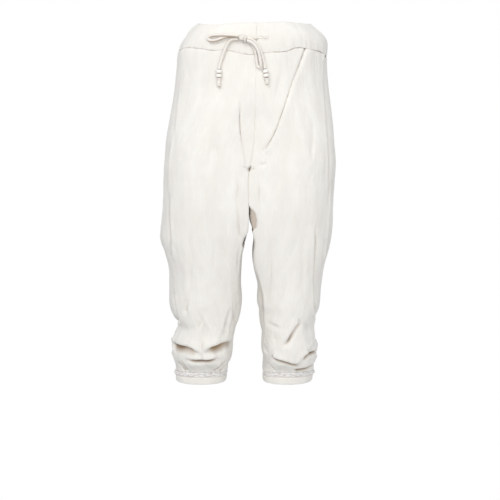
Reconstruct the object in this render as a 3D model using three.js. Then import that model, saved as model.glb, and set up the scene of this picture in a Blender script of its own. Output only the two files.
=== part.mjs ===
import * as THREE from 'three';

// Drawstring jogger pants, worn and hollow. Millimetres, +Z up, the front faces -Y and the wearer's
// left leg is on +X. The origin is the middle of the waist opening, level with the waistband's top.

const CLOTH = 1.3;
const CASING = 3;
const ELASTIC_CASING = 2.4;
const SEAM_GAP = 0.3;
const CREAM = 0xf1ece2;
const CORD_CREAM = 0xeee6d8;
const BEAD_WHITE = 0xf4efe6;

// ---- The worn form: one row for each section, from the waist down. The inner edge is the centre
// seam above the crotch and the inner leg below it. FRONT and BACK are how far the cloth stands out
// from the side seam's plane, and LEAN is how far the leg lies behind it.
const [HEIGHT, OUT_RIGHT, IN_RIGHT, OUT_LEFT, IN_LEFT, FRONT, BACK, LEAN] = [0, 1, 2, 3, 4, 5, 6, 7];
const SECTIONS = [
  [0, -119, 5, 119, 5, 88, 82, 0],
  [-10, -130, 5, 129, 5, 93, 89, 0],
  [-23, -140, 5, 144, 5, 98, 97, 0],
  [-40, -152, 4, 154, 4, 101, 104, 0],
  [-60, -162, 4, 155, 4, 103, 111, 0],
  [-93, -165, 4, 156, 4, 104, 119, 0],
  [-144, -171, 3, 161, 3, 106, 126, 0],
  [-195, -180, 2, 168, 2, 106, 128, 0],
  [-247, -190, 0, 174, 0, 106, 123, 0],
  [-288, -194, -6, 178, -6, 106, 117, 0],
  [-310, -196, -12.6, 178, -11.4, 106, 113, 0],
  [-388, -199, -12.6, 173, -11.4, 104, 103, 1],
  [-424, -202, -12.8, 172, -9, 101, 98, 2],
  [-442, -204, -14, 171, -3, 99, 96, 2],
  [-462, -205, -18, 169, 0, 97, 94, 3],
  [-496, -196, -26, 163, -3, 93, 90, 4],
  [-532, -188, -29, 154, 1, 89, 87, 5],
  [-569, -188, -30, 149, 9, 86, 86, 6],
  [-605, -189, -28, 147, 8, 84, 85, 7],
  [-624, -186, -30, 144, 12, 83, 84, 8],
  [-642, -178, -34, 138, 13, 82, 84, 8],
  [-659, -168, -40, 135, 15, 81, 84, 8],
  [-679, -176, -45, 137, 19, 81, 85, 8],
  [-698, -182, -48, 139, 18, 84, 88, 8],
  [-717, -184, -49, 143, 18, 83, 87, 8],
  [-736, -182, -52, 141, 22, 76, 81, 8],
  [-754, -178, -60, 136, 22, 60, 62, 8],
  [-768, -177, -61, 135, 21, 57, 59, 8],
  [-790, -177, -64, 132, 21, 57, 59, 8],
];
const HIP = -130;
const CROTCH = -310;
const FORK_POWER = 1.8;
const FULLNESS = 0.88;
// The legs press together below the crotch, so the cloth is fuller on the inner side of each leg.
const PRESSED = 0.55;
const PRESSED_TO = -395;
const UNPRESSED = 0.72;
const UNPRESSED_FROM = -480;

// ---- The waistband's seam and top edge round the front. Each row starts with its angle from the
// side seam, in degrees.
const [SEAM_RIGHT, SEAM_LEFT, TOP_RIGHT, TOP_LEFT] = [1, 2, 3, 4];
const WAIST = [
  [0, -57, -68, -1.5, -1.5],
  [15, -54, -66, -2, -3],
  [27, -51, -60, -4, -4],
  [46, -54, -54, -7, -3],
  [57, -58, -53, -7, -2],
  [66, -57, -60, -5, -2],
  [74, -61, -62, -4, -3],
  [83, -66, -63, -4, -4],
  [90, -67, -67, -4, -4],
];
const BACK_SEAM = -62;
const BACK_TOP = 0;

// ---- The hem and the cuff's height, which is less at the sides than at the front and back.
const HEM = -787;
const HEM_RISE_INSIDE = 5;
const CUFF_HEIGHT = 33;
const CUFF_SIDE_SHARE = 0.74;

// ---- Folds. Each row is one fold from its first end to its second, across the front or the back
// as seen from the front: its ends, how far its middle bows sideways, the width and depth of its
// trough, and the height of the lip of cloth that hangs over it, on the side named by its sign.
const [X0, Z0, X1, Z1, BOW, WIDE, DEEP, LIP] = [0, 1, 2, 3, 4, 5, 6, 7];
const FRONT_FOLDS = [
  // the long crease from the waist to the crotch, and those beside the crotch
  [108, -50, 18, -268, 6, 9, 4, 3],
  [-29, -170, -14, -302, -4, 9, 3.5, 0],
  [-31, -312, -28, -459, 0, 9, 3.5, 2],
  [11, -319, 7, -415, 0, 8, 3, -2],
  // down the outside of each leg
  [131, -425, 135, -625, 0, 9, 4, 3],
  [150, -171, 160, -390, 0, 11, 4, 2],
  [-179, -345, -182, -500, 0, 9, 4, -2],
  // soft folds down the thighs
  [-102, -340, -104, -470, 0, 14, 2.5, 2],
  [-137, -450, -139, -580, 0, 12, 2.5, -2],
  [-62, -380, -57, -545, 0, 13, 2.5, 2],
  [104, -430, 105, -570, 0, 14, 2.2, 2],
  // the knee
  [-94, -590, -118, -645, 0, 10, 3, 2],
  [-50, -555, -57, -662, 0, 9, 3, -2],
  [103, -640, 61, -702, 0, 9, 4.5, -3],
  // the swags above the cuffs
  [-186, -690, -116, -722, 7, 9, 6, 6],
  [-116, -722, -48, -694, 7, 9, 6, 6],
  [-152, -735, -80, -733, -4, 8, 6, 4],
  [38, -720, 104, -743, -2, 8, 5, 5],
  [104, -727, 144, -714, 0, 8, 5, 4],
];
const BACK_FOLDS = [
  [-95, -300, -30, -330, 4, 12, 4, 3],
  [95, -305, 25, -332, -4, 12, 4, 3],
  [-60, -80, -75, -190, 0, 14, 2.5, 2],
  [70, -80, 78, -180, 0, 14, 2.5, 2],
  [-120, -370, -125, -560, 0, 13, 3, 2],
  [-70, -360, -60, -520, 0, 13, 3, -2],
  [110, -380, 104, -600, 0, 13, 3, 2],
  [50, -370, 46, -540, 0, 13, 3, -2],
  [-150, -600, -80, -655, 4, 11, 4.5, 4],
  [125, -585, 50, -640, -4, 11, 4.5, 4],
  [-170, -700, -60, -722, 5, 10, 5.5, 5],
  [30, -715, 130, -700, 5, 10, 5.5, 5],
];
const FOLD_END = 0.18;
const LIP_AT = 1.6;
// Folds die out beside the side seam and, once the section has divided, beside the inner leg.
const SIDE_FADE = 0.1;
const INNER_FADE = [0.78, 0.96];
const FORKED = 0.3;

const RIGHT = { name: 'right', side: -1, out: OUT_RIGHT, inner: IN_RIGHT, seam: SEAM_RIGHT, top: TOP_RIGHT };
const LEFT = { name: 'left', side: 1, out: OUT_LEFT, inner: IN_LEFT, seam: SEAM_LEFT, top: TOP_LEFT };
const FRONT_FACE = { name: 'front', y: -1, depth: FRONT, folds: FRONT_FOLDS };
const BACK_FACE = { name: 'back', y: 1, depth: BACK, folds: BACK_FOLDS };

// A smooth curve through one column of a table whose first column runs one way.
function column(table, name, at) {
  const way = Math.sign(table[1][0] - table[0][0]);
  const last = table.length - 1;
  let i = 0;
  while (i < last - 1 && (at - table[i + 1][0]) * way > 0) i += 1;
  const slope = (k) => {
    const a = Math.max(k - 1, 0);
    const b = Math.min(k + 1, last);
    return (table[b][name] - table[a][name]) / (table[b][0] - table[a][0]);
  };
  const step = table[i + 1][0] - table[i][0];
  const t = THREE.MathUtils.clamp((at - table[i][0]) / step, 0, 1);
  const tt = t * t;
  const ttt = tt * t;
  return (2 * ttt - 3 * tt + 1) * table[i][name] + (ttt - 2 * tt + t) * step * slope(i)
    + (3 * tt - 2 * ttt) * table[i + 1][name] + (ttt - tt) * step * slope(i + 1);
}

// How far the section has divided into two legs: 0 at the hip, a right angle at the crotch.
function forkAngle(z) {
  const down = THREE.MathUtils.clamp((HIP - z) / (HIP - CROTCH), 0, 1);
  return (Math.PI / 2) * down ** FORK_POWER;
}

// A point on the smooth worn form. Share runs from the side seam (0) round to the centre seam or,
// below the crotch, to the inner leg (1).
function formPoint(leg, face, share, z) {
  const fork = forkAngle(z);
  const whole = Math.PI / 2 + fork;
  const angle = share * whole;
  const out = column(SECTIONS, leg.out, z);
  const inner = column(SECTIONS, leg.inner, z) + leg.side * SEAM_GAP / 2;
  const middle = inner + (out - inner) * (fork / whole);
  const turn = Math.cos(angle);
  const x = turn >= 0 ? middle + (out - middle) * turn : middle + (middle - inner) * (turn / Math.sin(fork));
  const apart = THREE.MathUtils.smoothstep(-z, -PRESSED_TO, -UNPRESSED_FROM);
  const fullness = turn >= 0 ? FULLNESS : PRESSED + (UNPRESSED - PRESSED) * apart;
  const y = column(SECTIONS, face.depth, z) * Math.max(Math.sin(angle), 0) ** fullness;
  return new THREE.Vector3(x, column(SECTIONS, LEAN, z) + face.y * y, z);
}

// How far a fold lifts or sinks the cloth at x, z.
function foldHeight(fold, x, z) {
  const run = Math.hypot(fold[X1] - fold[X0], fold[Z1] - fold[Z0]);
  const ux = (fold[X1] - fold[X0]) / run;
  const uz = (fold[Z1] - fold[Z0]) / run;
  const along = ((x - fold[X0]) * ux + (z - fold[Z0]) * uz) / run;
  if (along < -FOLD_END || along > 1 + FOLD_END) return 0;
  const bowed = fold[BOW] * 4 * along * (1 - along);
  const across = (x - fold[X0]) * -uz + (z - fold[Z0]) * ux - bowed;
  const fade = THREE.MathUtils.smoothstep(along, -FOLD_END, FOLD_END)
    * (1 - THREE.MathUtils.smoothstep(along, 1 - FOLD_END, 1 + FOLD_END));
  const trough = -fold[DEEP] * Math.exp(-((across / fold[WIDE]) ** 2));
  const lipAt = across - Math.sign(fold[LIP]) * LIP_AT * fold[WIDE];
  const lip = Math.abs(fold[LIP]) * Math.exp(-((lipAt / fold[WIDE]) ** 2));
  return fade * (trough + lip);
}

// The cloth's outer point: the form with its folds, and small gathers beside the two seams.
function clothPoint(leg, face, share, z, gather = 0) {
  const base = formPoint(leg, face, share, z);
  const level = formNormal((s, h) => formPoint(leg, face, s, h), leg, face, share, z).setZ(0).normalize();
  const forked = THREE.MathUtils.smoothstep(forkAngle(z), 0, FORKED);
  const seamFade = THREE.MathUtils.smoothstep(share, 0, SIDE_FADE)
    * (1 - forked * THREE.MathUtils.smoothstep(share, ...INNER_FADE));
  let lift = gather;
  for (const fold of face.folds) lift += foldHeight(fold, base.x, base.z) * seamFade;
  return base.addScaledVector(level, lift);
}

// The way out of the cloth, from two short steps over its surface.
const ROUND_STEP = 0.01;
const UP_STEP = 1.5;
function formNormal(surface, leg, face, share, z) {
  const [s0, s1] = [Math.max(share - ROUND_STEP, 0), Math.min(share + ROUND_STEP, 1)];
  const [z0, z1] = [Math.max(z - UP_STEP, SECTIONS.at(-1)[HEIGHT]), Math.min(z + UP_STEP, 0)];
  const round = surface(s1, z).sub(surface(s0, z));
  const up = surface(share, z1).sub(surface(share, z0));
  return round.cross(up).multiplyScalar(leg.side * face.y).normalize();
}

const degrees = (share) => share * 90;
function waistSeam(leg, face, share) {
  if (face === FRONT_FACE) return column(WAIST, leg.seam, degrees(share));
  return THREE.MathUtils.lerp(WAIST[0][leg.seam], BACK_SEAM, THREE.MathUtils.smoothstep(share, 0, 1));
}
function waistTop(leg, face, share) {
  if (face === FRONT_FACE) return column(WAIST, leg.top, degrees(share));
  return THREE.MathUtils.lerp(WAIST[0][leg.top], BACK_TOP, THREE.MathUtils.smoothstep(share, 0, 1));
}
function hemHeight(share) {
  return HEM + HEM_RISE_INSIDE * Math.sin(share * Math.PI / 2) ** 6;
}
function aboveHem(height, share) {
  return hemHeight(share) + height * THREE.MathUtils.lerp(CUFF_SIDE_SHARE, 1, Math.sin(share * Math.PI));
}

// ---- A closed wall between an outer and an inner grid of points, of rows by columns.
function wall(outer, inner, closed) {
  const rows = outer.length;
  const columns = outer[0].length;
  const steps = closed ? columns : columns - 1;
  const positions = [];
  const face = (a, b, c) => positions.push(...a.toArray(), ...b.toArray(), ...c.toArray());
  const quad = (a, b, c, d) => {
    face(a, b, c);
    face(a, c, d);
  };
  for (let j = 0; j < steps; j += 1) {
    const k = (j + 1) % columns;
    for (let i = 0; i < rows - 1; i += 1) {
      quad(outer[i][j], outer[i + 1][j], outer[i + 1][k], outer[i][k]);
      quad(inner[i][j], inner[i][k], inner[i + 1][k], inner[i + 1][j]);
    }
    quad(outer[0][j], outer[0][k], inner[0][k], inner[0][j]);
    quad(outer[rows - 1][j], inner[rows - 1][j], inner[rows - 1][k], outer[rows - 1][k]);
  }
  for (let i = 0; i < rows - 1 && !closed; i += 1) {
    const end = columns - 1;
    quad(outer[i][0], inner[i][0], inner[i + 1][0], outer[i + 1][0]);
    quad(outer[i][end], outer[i + 1][end], inner[i + 1][end], inner[i][end]);
  }
  return facingOut(positions);
}

// Triangles turned to face out of their closed body.
function facingOut(positions) {
  let volume = 0;
  const [a, b, c] = [new THREE.Vector3(), new THREE.Vector3(), new THREE.Vector3()];
  for (let i = 0; i < positions.length; i += 9) {
    a.fromArray(positions, i);
    b.fromArray(positions, i + 3);
    c.fromArray(positions, i + 6);
    volume += a.dot(b.cross(c));
  }
  for (let i = 0; i < positions.length && volume < 0; i += 9) {
    for (let k = 0; k < 3; k += 1) {
      [positions[i + k], positions[i + 3 + k]] = [positions[i + 3 + k], positions[i + k]];
    }
  }
  const geometry = new THREE.BufferGeometry();
  geometry.setAttribute('position', new THREE.Float32BufferAttribute(positions, 3));
  return geometry;
}

const group = new THREE.Group();
function add(name, geometry, colour) {
  const material = new THREE.MeshStandardMaterial({ color: colour, roughness: 0.9, metalness: 0 });
  const mesh = new THREE.Mesh(geometry, material);
  mesh.name = name;
  group.add(mesh);
}

// ---- The four cut panels, each from the waist seam to the cuff seam.
const FINE_FROM = -640;
const SEAM_SHARE = 0.0003;
const GATHER = 1.2;
const WAIST_GATHER_REACH = 22;
const CUFF_GATHER_REACH = 30;
const PANEL_GRID = {
  front: { columns: 18, coarse: 24, fine: 12 },
  back: { columns: 12, coarse: 18, fine: 8 },
};

function panelLevels(grid, top, bottom) {
  const levels = [];
  for (let i = 0; i < grid.coarse; i += 1) levels.push(THREE.MathUtils.lerp(top, FINE_FROM, i / grid.coarse));
  for (let i = 0; i <= grid.fine; i += 1) levels.push(THREE.MathUtils.lerp(FINE_FROM, bottom, i / grid.fine));
  return levels;
}

function panel(leg, face) {
  const grid = PANEL_GRID[face.name];
  const rows = grid.coarse + grid.fine + 1;
  const outer = Array.from({ length: rows }, () => []);
  const inner = Array.from({ length: rows }, () => []);
  for (let j = 0; j <= grid.columns; j += 1) {
    const share = THREE.MathUtils.clamp(j / grid.columns, SEAM_SHARE, 1 - SEAM_SHARE);
    const top = waistSeam(leg, face, share) - SEAM_GAP;
    const bottom = aboveHem(CUFF_HEIGHT, share) + SEAM_GAP;
    const pleat = (j % 2 === 0 ? -GATHER : GATHER) * (j > 0 && j < grid.columns ? 1 : 0);
    const gather = (z) => pleat * (Math.exp((z - top) / WAIST_GATHER_REACH)
      + Math.exp((bottom - z) / CUFF_GATHER_REACH));
    panelLevels(grid, top, bottom).forEach((z, i) => {
      const surface = (s, h) => clothPoint(leg, face, s, h);
      const normal = formNormal(surface, leg, face, share, z);
      if (i === 0 || i === rows - 1) normal.setZ(0).normalize();
      if (j === 0 || (j === grid.columns && z <= CROTCH)) normal.setY(0).normalize();
      if (j === grid.columns && z >= HIP) normal.setX(0).normalize();
      const point = clothPoint(leg, face, share, z, gather(z));
      outer[i].push(point);
      inner[i].push(point.clone().addScaledVector(normal, -CLOTH));
    });
  }
  return wall(outer, inner, false);
}

for (const leg of [RIGHT, LEFT]) {
  add(`front_${leg.name}`, panel(leg, FRONT_FACE), CREAM);
  add(`back_${leg.name}`, panel(leg, BACK_FACE), CREAM);
}

// ---- The waistband: a folded casing in two halves, drawn up a little by its cord.
const BAND_PROUD = 1;
const BAND_PUFF = 2.5;
const BAND_ROWS = 5;
const BAND_WAVE = 0.8;

function waistbandHalf(leg) {
  const places = [];
  const [behind, before] = [PANEL_GRID.back.columns, PANEL_GRID.front.columns];
  for (let j = behind; j > 0; j -= 1) places.push([BACK_FACE, j / behind, j]);
  for (let j = 0; j <= before; j += 1) places.push([FRONT_FACE, j / before, j]);
  const outer = Array.from({ length: BAND_ROWS + 1 }, () => []);
  const inner = Array.from({ length: BAND_ROWS + 1 }, () => []);
  for (const [face, place, j] of places) {
    const share = Math.min(place, 1 - SEAM_SHARE);
    const wave = place > 0 && place < 1 ? BAND_WAVE * (j % 2 === 0 ? -1 : 1) : 0;
    for (let i = 0; i <= BAND_ROWS; i += 1) {
      const down = i / BAND_ROWS;
      const z = THREE.MathUtils.lerp(waistTop(leg, face, share), waistSeam(leg, face, share), down);
      const surface = (s, h) => formPoint(leg, face, s, h);
      const normal = formNormal(surface, leg, face, share, z);
      if (i === BAND_ROWS) normal.setZ(0).normalize();
      if (place === 1) normal.setX(0).normalize();
      if (place === 0) normal.setY(0).normalize();
      const proud = BAND_PROUD + BAND_PUFF * Math.sin(Math.PI * down) + wave;
      const point = formPoint(leg, face, place === 0 ? 0 : share, z).addScaledVector(normal, proud);
      outer[i].push(point);
      inner[i].push(point.clone().addScaledVector(normal, -CASING));
    }
  }
  return wall(outer, inner, false);
}

for (const leg of [RIGHT, LEFT]) add(`waistband_${leg.name}`, waistbandHalf(leg), CREAM);

// ---- The cuffs: an elastic casing with a plain hem band, a pinched stitch line and a gathered
// frill over it that meets the leg.
const CUFF_WAVES = 22;
const [ABOVE_HEM, STAND_OUT, WAVE] = [0, 1, 2];
const CUFF_PROFILE = [
  [CUFF_HEIGHT, 1.2, 1],
  [23, 4, 1.6],
  [19, -0.6, 0.5],
  [9, 1, 0.2],
  [0, 0, 0.2],
];
const FRILL = 1;
const FRILL_FLARE = 6;

function cuff(leg) {
  const outer = CUFF_PROFILE.map(() => []);
  const inner = CUFF_PROFILE.map(() => []);
  for (let j = 0; j < 2 * CUFF_WAVES; j += 1) {
    const face = j < CUFF_WAVES ? FRONT_FACE : BACK_FACE;
    const share = Math.min(j, 2 * CUFF_WAVES - j) / CUFF_WAVES;
    CUFF_PROFILE.forEach((row, i) => {
      const z = aboveHem(row[ABOVE_HEM], share);
      const normal = formNormal((s, h) => formPoint(leg, face, s, h), leg, face, share, z);
      normal.setZ(0).normalize();
      if (share === 0 || share === 1) normal.setY(0).normalize();
      const flare = i === FRILL ? FRILL_FLARE * Math.max(Math.cos(share * Math.PI), 0) ** 2 : 0;
      const proud = row[STAND_OUT] + flare + row[WAVE] * (j % 2 === 0 ? 1 : -1);
      const point = formPoint(leg, face, share, z).addScaledVector(normal, proud);
      outer[i].push(point);
      inner[i].push(point.clone().addScaledVector(normal, -ELASTIC_CASING));
    });
  }
  return wall(outer, inner, true);
}

for (const leg of [RIGHT, LEFT]) add(`cuff_${leg.name}`, cuff(leg), CREAM);

// ---- The drawcord, tied in a bow at the front. Each stretch that shows is its own tube along
// hand-laid points; all of them meet the knot.
const CORD = 6;
const CORD_SIDES = 10;
const FEED_ROUTE = [
  [-15.1, -107.9, -29.6], [-9, -108.4, -29.8], [-1, -108.6, -31.4], [5, -108.7, -33.6],
  [8.5, -108.3, -35.5],
];
const LOOP_RIGHT_ROUTE = [
  [-32.9, -112.8, -31], [-42, -111.4, -30], [-52, -108.3, -29.2], [-64, -103.4, -28.6],
  [-76, -97.8, -28.4], [-86, -92.8, -29], [-92.5, -90, -31], [-95.4, -88.8, -34.6],
  [-92.5, -91.2, -38.2], [-86, -94.6, -39.6], [-76, -97.8, -37.9], [-67, -99.8, -34.8],
  [-58, -100.8, -32], [-47, -103.4, -30.6], [-38, -106, -30.2], [-32.9, -106.2, -30.4],
];
const LOOP_LEFT_ROUTE = [
  [-15.2, -108.4, -40.2], [-8.5, -109.6, -44.5], [-2.5, -109.5, -52], [1.6, -108.9, -61],
  [3.8, -107.7, -72], [5.4, -107.6, -84], [7.2, -107.9, -91], [10.4, -109.2, -94.8],
  [13.4, -111.8, -92.5], [13.2, -113.6, -86], [11.2, -114.2, -74], [8.2, -114.8, -62],
  [2.9, -115.6, -52.4], [-3.8, -116.2, -45.4], [-9.5, -115.6, -42], [-15.2, -114.6, -40.6],
];
const TAIL_RIGHT_ROUTE = [
  [-32.9, -106.9, -37.8], [-40, -106, -37.2], [-47, -104.4, -38.8], [-53, -102.8, -44],
  [-57, -102, -51], [-61, -101.2, -60], [-66, -99.7, -74], [-70.5, -99.2, -87],
  [-72.6, -100.6, -97.5],
];
const TAIL_LEFT_ROUTE = [
  [-14.9, -111.6, -34.8], [-7, -112, -36.8], [1, -111.4, -43], [8.5, -109.9, -52],
  [14, -108.8, -63], [18, -107.8, -77], [20.6, -108, -88], [22.1, -109.6, -97],
];
const CORD_STEPS = { feed: 6, loop_right: 26, loop_left: 26, tail_right: 10, tail_left: 10 };

function cordTube(route, steps) {
  const path = new THREE.CatmullRomCurve3(route.map((point) => new THREE.Vector3(...point)));
  const section = new THREE.Shape();
  for (let k = 0; k < CORD_SIDES; k += 1) {
    const angle = (k / CORD_SIDES) * 2 * Math.PI;
    const [x, y] = [(CORD / 2) * Math.cos(angle), (CORD / 2) * Math.sin(angle)];
    if (k === 0) section.moveTo(x, y);
    else section.lineTo(x, y);
  }
  return new THREE.ExtrudeGeometry(section, { steps, bevelEnabled: false, extrudePath: path });
}

add('cord_feed', cordTube(FEED_ROUTE, CORD_STEPS.feed), CORD_CREAM);
add('cord_loop_right', cordTube(LOOP_RIGHT_ROUTE, CORD_STEPS.loop_right), CORD_CREAM);
add('cord_loop_left', cordTube(LOOP_LEFT_ROUTE, CORD_STEPS.loop_left), CORD_CREAM);
add('cord_tail_right', cordTube(TAIL_RIGHT_ROUTE, CORD_STEPS.tail_right), CORD_CREAM);
add('cord_tail_left', cordTube(TAIL_LEFT_ROUTE, CORD_STEPS.tail_left), CORD_CREAM);

// ---- The knot: a rounded lump with the turn of cord that wraps it as a low ridge.
const KNOT_AT = [-24, -110.4, -35.4];
const KNOT_HALF = [8.8, 6.9, 7.6];
const KNOT_SQUARENESS = 0.6;
const KNOT_ROUNDING = 0.6;
const KNOT_WRAP = { deep: 0.07, turns: 6, slant: 0.4 };

function knot() {
  const geometry = new THREE.SphereGeometry(1, 16, 12);
  const at = geometry.attributes.position;
  const bulge = (value) => Math.sign(value) * Math.abs(value) ** KNOT_SQUARENESS;
  for (let i = 0; i < at.count; i += 1) {
    const [x, y, z] = [at.getX(i), at.getY(i), at.getZ(i)];
    const reach = Math.hypot(bulge(x), bulge(y), bulge(z));
    const wrap = 1 - KNOT_WRAP.deep * (1 - Math.cos(KNOT_WRAP.turns * (x + KNOT_WRAP.slant * z)));
    const size = wrap / Math.max(reach, 1) ** KNOT_ROUNDING;
    const [wide, thick, high] = KNOT_HALF;
    at.setXYZ(i, bulge(x) * size * wide, bulge(y) * size * thick, bulge(z) * size * high);
  }
  return geometry.translate(...KNOT_AT);
}

add('cord_knot', knot(), CORD_CREAM);

// ---- On each tail, two squat beads and the cord's bound end, one below the other.
const BEAD_HALF = 4;
const BEAD_RADIUS = 5.8;
const BEAD_FLAT = 2.6;
const BEAD_ROUNDNESS = 0.6;
const BEAD_ARC_STEPS = 4;
const BEAD_SIDES = 12;
// The bound end's radius against its height: [radius, up from the bottom] and [radius, down from the top].
const TIP_END = [[0, 0], [2.2, 0], [3.2, 2.4], [2.8, 5]];
const TIP_TOP = [[3.9, 1], [3.2, 0], [0, 0]];
const TIP_SIDES = 14;
const TAILS = [
  { name: 'right', top: [-73, -101.2, -98.2], tip: 19, lean: 0 },
  { name: 'left', top: [22.5, -110, -97.9], tip: 16, lean: 0.13 },
];

function bead() {
  const profile = [new THREE.Vector2(0, -BEAD_HALF), new THREE.Vector2(BEAD_FLAT, -BEAD_HALF)];
  for (let k = 1; k < BEAD_ARC_STEPS; k += 1) {
    const angle = -Math.PI / 2 + (k / BEAD_ARC_STEPS) * Math.PI;
    const radius = BEAD_FLAT + (BEAD_RADIUS - BEAD_FLAT) * Math.cos(angle) ** BEAD_ROUNDNESS;
    profile.push(new THREE.Vector2(radius, BEAD_HALF * Math.sin(angle)));
  }
  profile.push(new THREE.Vector2(BEAD_FLAT, BEAD_HALF), new THREE.Vector2(0, BEAD_HALF));
  return new THREE.LatheGeometry(profile, BEAD_SIDES).rotateX(Math.PI / 2);
}

function tip(long) {
  const profile = [
    ...TIP_END.map(([radius, up]) => new THREE.Vector2(radius, up - long)),
    ...TIP_TOP.map(([radius, down]) => new THREE.Vector2(radius, -down)),
  ];
  return new THREE.LatheGeometry(profile, TIP_SIDES).rotateX(Math.PI / 2);
}

for (const tail of TAILS) {
  const [x, y, z] = tail.top;
  const down = (drop) => [x + drop * Math.sin(tail.lean), y, z - drop * Math.cos(tail.lean)];
  const place = (geometry, drop) => geometry.rotateY(-tail.lean).translate(...down(drop));
  const upper = BEAD_HALF;
  const lower = 3 * BEAD_HALF + SEAM_GAP;
  add(`bead_${tail.name}_upper`, place(bead(), upper), BEAD_WHITE);
  add(`bead_${tail.name}_lower`, place(bead(), lower), BEAD_WHITE);
  add(`tip_${tail.name}`, place(tip(tail.tip), lower + BEAD_HALF + SEAM_GAP), CORD_CREAM);
}

export default group;
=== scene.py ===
import math

import bpy
import numpy as np
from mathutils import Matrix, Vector
from mathutils.bvhtree import BVHTree


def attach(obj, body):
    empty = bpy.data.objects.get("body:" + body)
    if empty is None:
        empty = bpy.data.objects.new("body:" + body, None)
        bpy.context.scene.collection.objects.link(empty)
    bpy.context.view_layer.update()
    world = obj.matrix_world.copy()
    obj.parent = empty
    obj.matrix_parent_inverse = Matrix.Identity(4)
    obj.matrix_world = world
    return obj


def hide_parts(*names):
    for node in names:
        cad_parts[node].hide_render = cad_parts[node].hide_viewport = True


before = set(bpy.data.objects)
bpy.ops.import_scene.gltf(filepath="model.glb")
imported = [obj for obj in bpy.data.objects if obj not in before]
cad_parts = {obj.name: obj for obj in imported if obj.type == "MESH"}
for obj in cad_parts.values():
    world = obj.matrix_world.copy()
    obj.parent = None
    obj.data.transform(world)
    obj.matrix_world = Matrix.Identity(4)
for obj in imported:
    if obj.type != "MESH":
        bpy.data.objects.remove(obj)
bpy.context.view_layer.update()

# ---- The legs and seat: four panels of soft off-white slub cotton, a front and a back to each leg,
# sewn at the side, the inner leg and the centre. They hang as worn, so each panel is a thin bowed
# shell, creased where the cloth is slack and gathered at the waist and the cuffs.
# Sizes are in millimetres. The cloth's thickness comes first.
MM = 0.001
CLOTH = 1.2
# A panel ends this far short of the waistband and of the cuff.
SEAM_INSET = 0.2
# One row for each section, from the waist down. The inner edge is the centre seam
# above the crotch and the inner leg below it.
HEIGHT, OUT_RIGHT, IN_RIGHT, OUT_LEFT, IN_LEFT, FRONT, BACK, LEAN = range(8)
SECTIONS = np.array([
    [0, -119, 5, 119, 5, 88, 82, 0],
    [-10, -130, 5, 129, 5, 93, 89, 0],
    [-23, -140, 5, 144, 5, 98, 97, 0],
    [-40, -152, 4, 154, 4, 101, 104, 0],
    [-60, -162, 4, 155, 4, 103, 111, 0],
    [-93, -165, 4, 156, 4, 104, 119, 0],
    [-144, -171, 3, 161, 3, 106, 126, 0],
    [-195, -180, 2, 168, 2, 106, 128, 0],
    [-247, -190, 0, 174, 0, 106, 123, 0],
    [-288, -194, -6, 178, -6, 106, 117, 0],
    [-310, -196, -12.2, 178, -11.8, 106, 113, 0],
    [-388, -199, -12.2, 173, -11.8, 104, 103, 1],
    [-424, -202, -12.8, 172, -9, 101, 98, 2],
    [-442, -204, -14, 171, -3, 99, 96, 2],
    [-462, -205, -18, 169, 0, 97, 94, 3],
    [-496, -196, -26, 163, -3, 93, 90, 4],
    [-532, -188, -29, 154, 1, 89, 87, 5],
    [-569, -188, -30, 149, 9, 86, 86, 6],
    [-605, -189, -28, 147, 8, 84, 85, 7],
    [-624, -186, -30, 144, 12, 83, 84, 8],
    [-642, -178, -34, 138, 13, 82, 84, 8],
    [-659, -168, -40, 135, 15, 81, 84, 8],
    [-679, -176, -45, 137, 19, 81, 85, 8],
    [-698, -182, -48, 139, 18, 84, 88, 8],
    [-717, -184, -49, 143, 18, 83, 87, 8],
    [-736, -182, -52, 141, 22, 76, 81, 8],
    [-754, -178, -60, 136, 22, 60, 62, 8],
    [-768, -177, -61, 135, 21, 57, 59, 8],
    [-790, -177, -64, 132, 21, 57, 59, 8],
], float)
# The leg begins to part from the other at the hip and has parted at the crotch.
HIP = -130
CROTCH = -310
FORK_POWER = 1.8
FULLNESS = 0.88
# The legs press together below the crotch, so the cloth is fuller on the inner side of each leg.
PRESSED, PRESSED_TO = 0.55, -395
UNPRESSED, UNPRESSED_FROM = 0.72, -480
# In front they lie flat almost to each other, and turn back round a small bend: how far down this
# begins, is whole, ends and is gone, the bend's radius, and how far the flat sags towards it.
PRESS_FROM, PRESS_WHOLE, PRESS_END, PRESS_GONE = 140, 235, 396, 640
PRESS_BEND = 3
PRESS_SAG = 0.05
# How far apart two panels stand along the centre seams.
SEAM_GAP = 0.3
# The waistband's seam and top edge round the front, from the side seam (0 degrees) to the centre.
SEAM_RIGHT, SEAM_LEFT, TOP_RIGHT, TOP_LEFT = range(1, 5)
WAIST = np.array([
    [0, -57, -68, -1.5, -1.5],
    [15, -54, -66, -2, -3],
    [27, -51, -60, -4, -4],
    [46, -54, -54, -7, -3],
    [57, -58, -53, -7, -2],
    [66, -57, -60, -5, -2],
    [74, -61, -62, -4, -3],
    [83, -66, -63, -4, -4],
    [90, -67, -67, -4, -4],
], float)
# The same two at the centre back.
AT_BACK = {"seam": -62, "top": 0}
# The hem, how much lower it is at each side of the leg, the cuff's height and its share of it there.
HEM = -788
HEM_SIDE_DROP = 2
CUFF_HEIGHT = 28.5
CUFF_SIDE_SHARE = 0.72

RIGHT = {"name": "right", "side": -1, "out": OUT_RIGHT, "inner": IN_RIGHT,
         "seam": SEAM_RIGHT, "top": TOP_RIGHT}
LEFT = {"name": "left", "side": 1, "out": OUT_LEFT, "inner": IN_LEFT,
        "seam": SEAM_LEFT, "top": TOP_LEFT}
FRONT_FACE = {"name": "front", "y": -1, "depth": FRONT}
BACK_FACE = {"name": "back", "y": 1, "depth": BACK}


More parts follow.
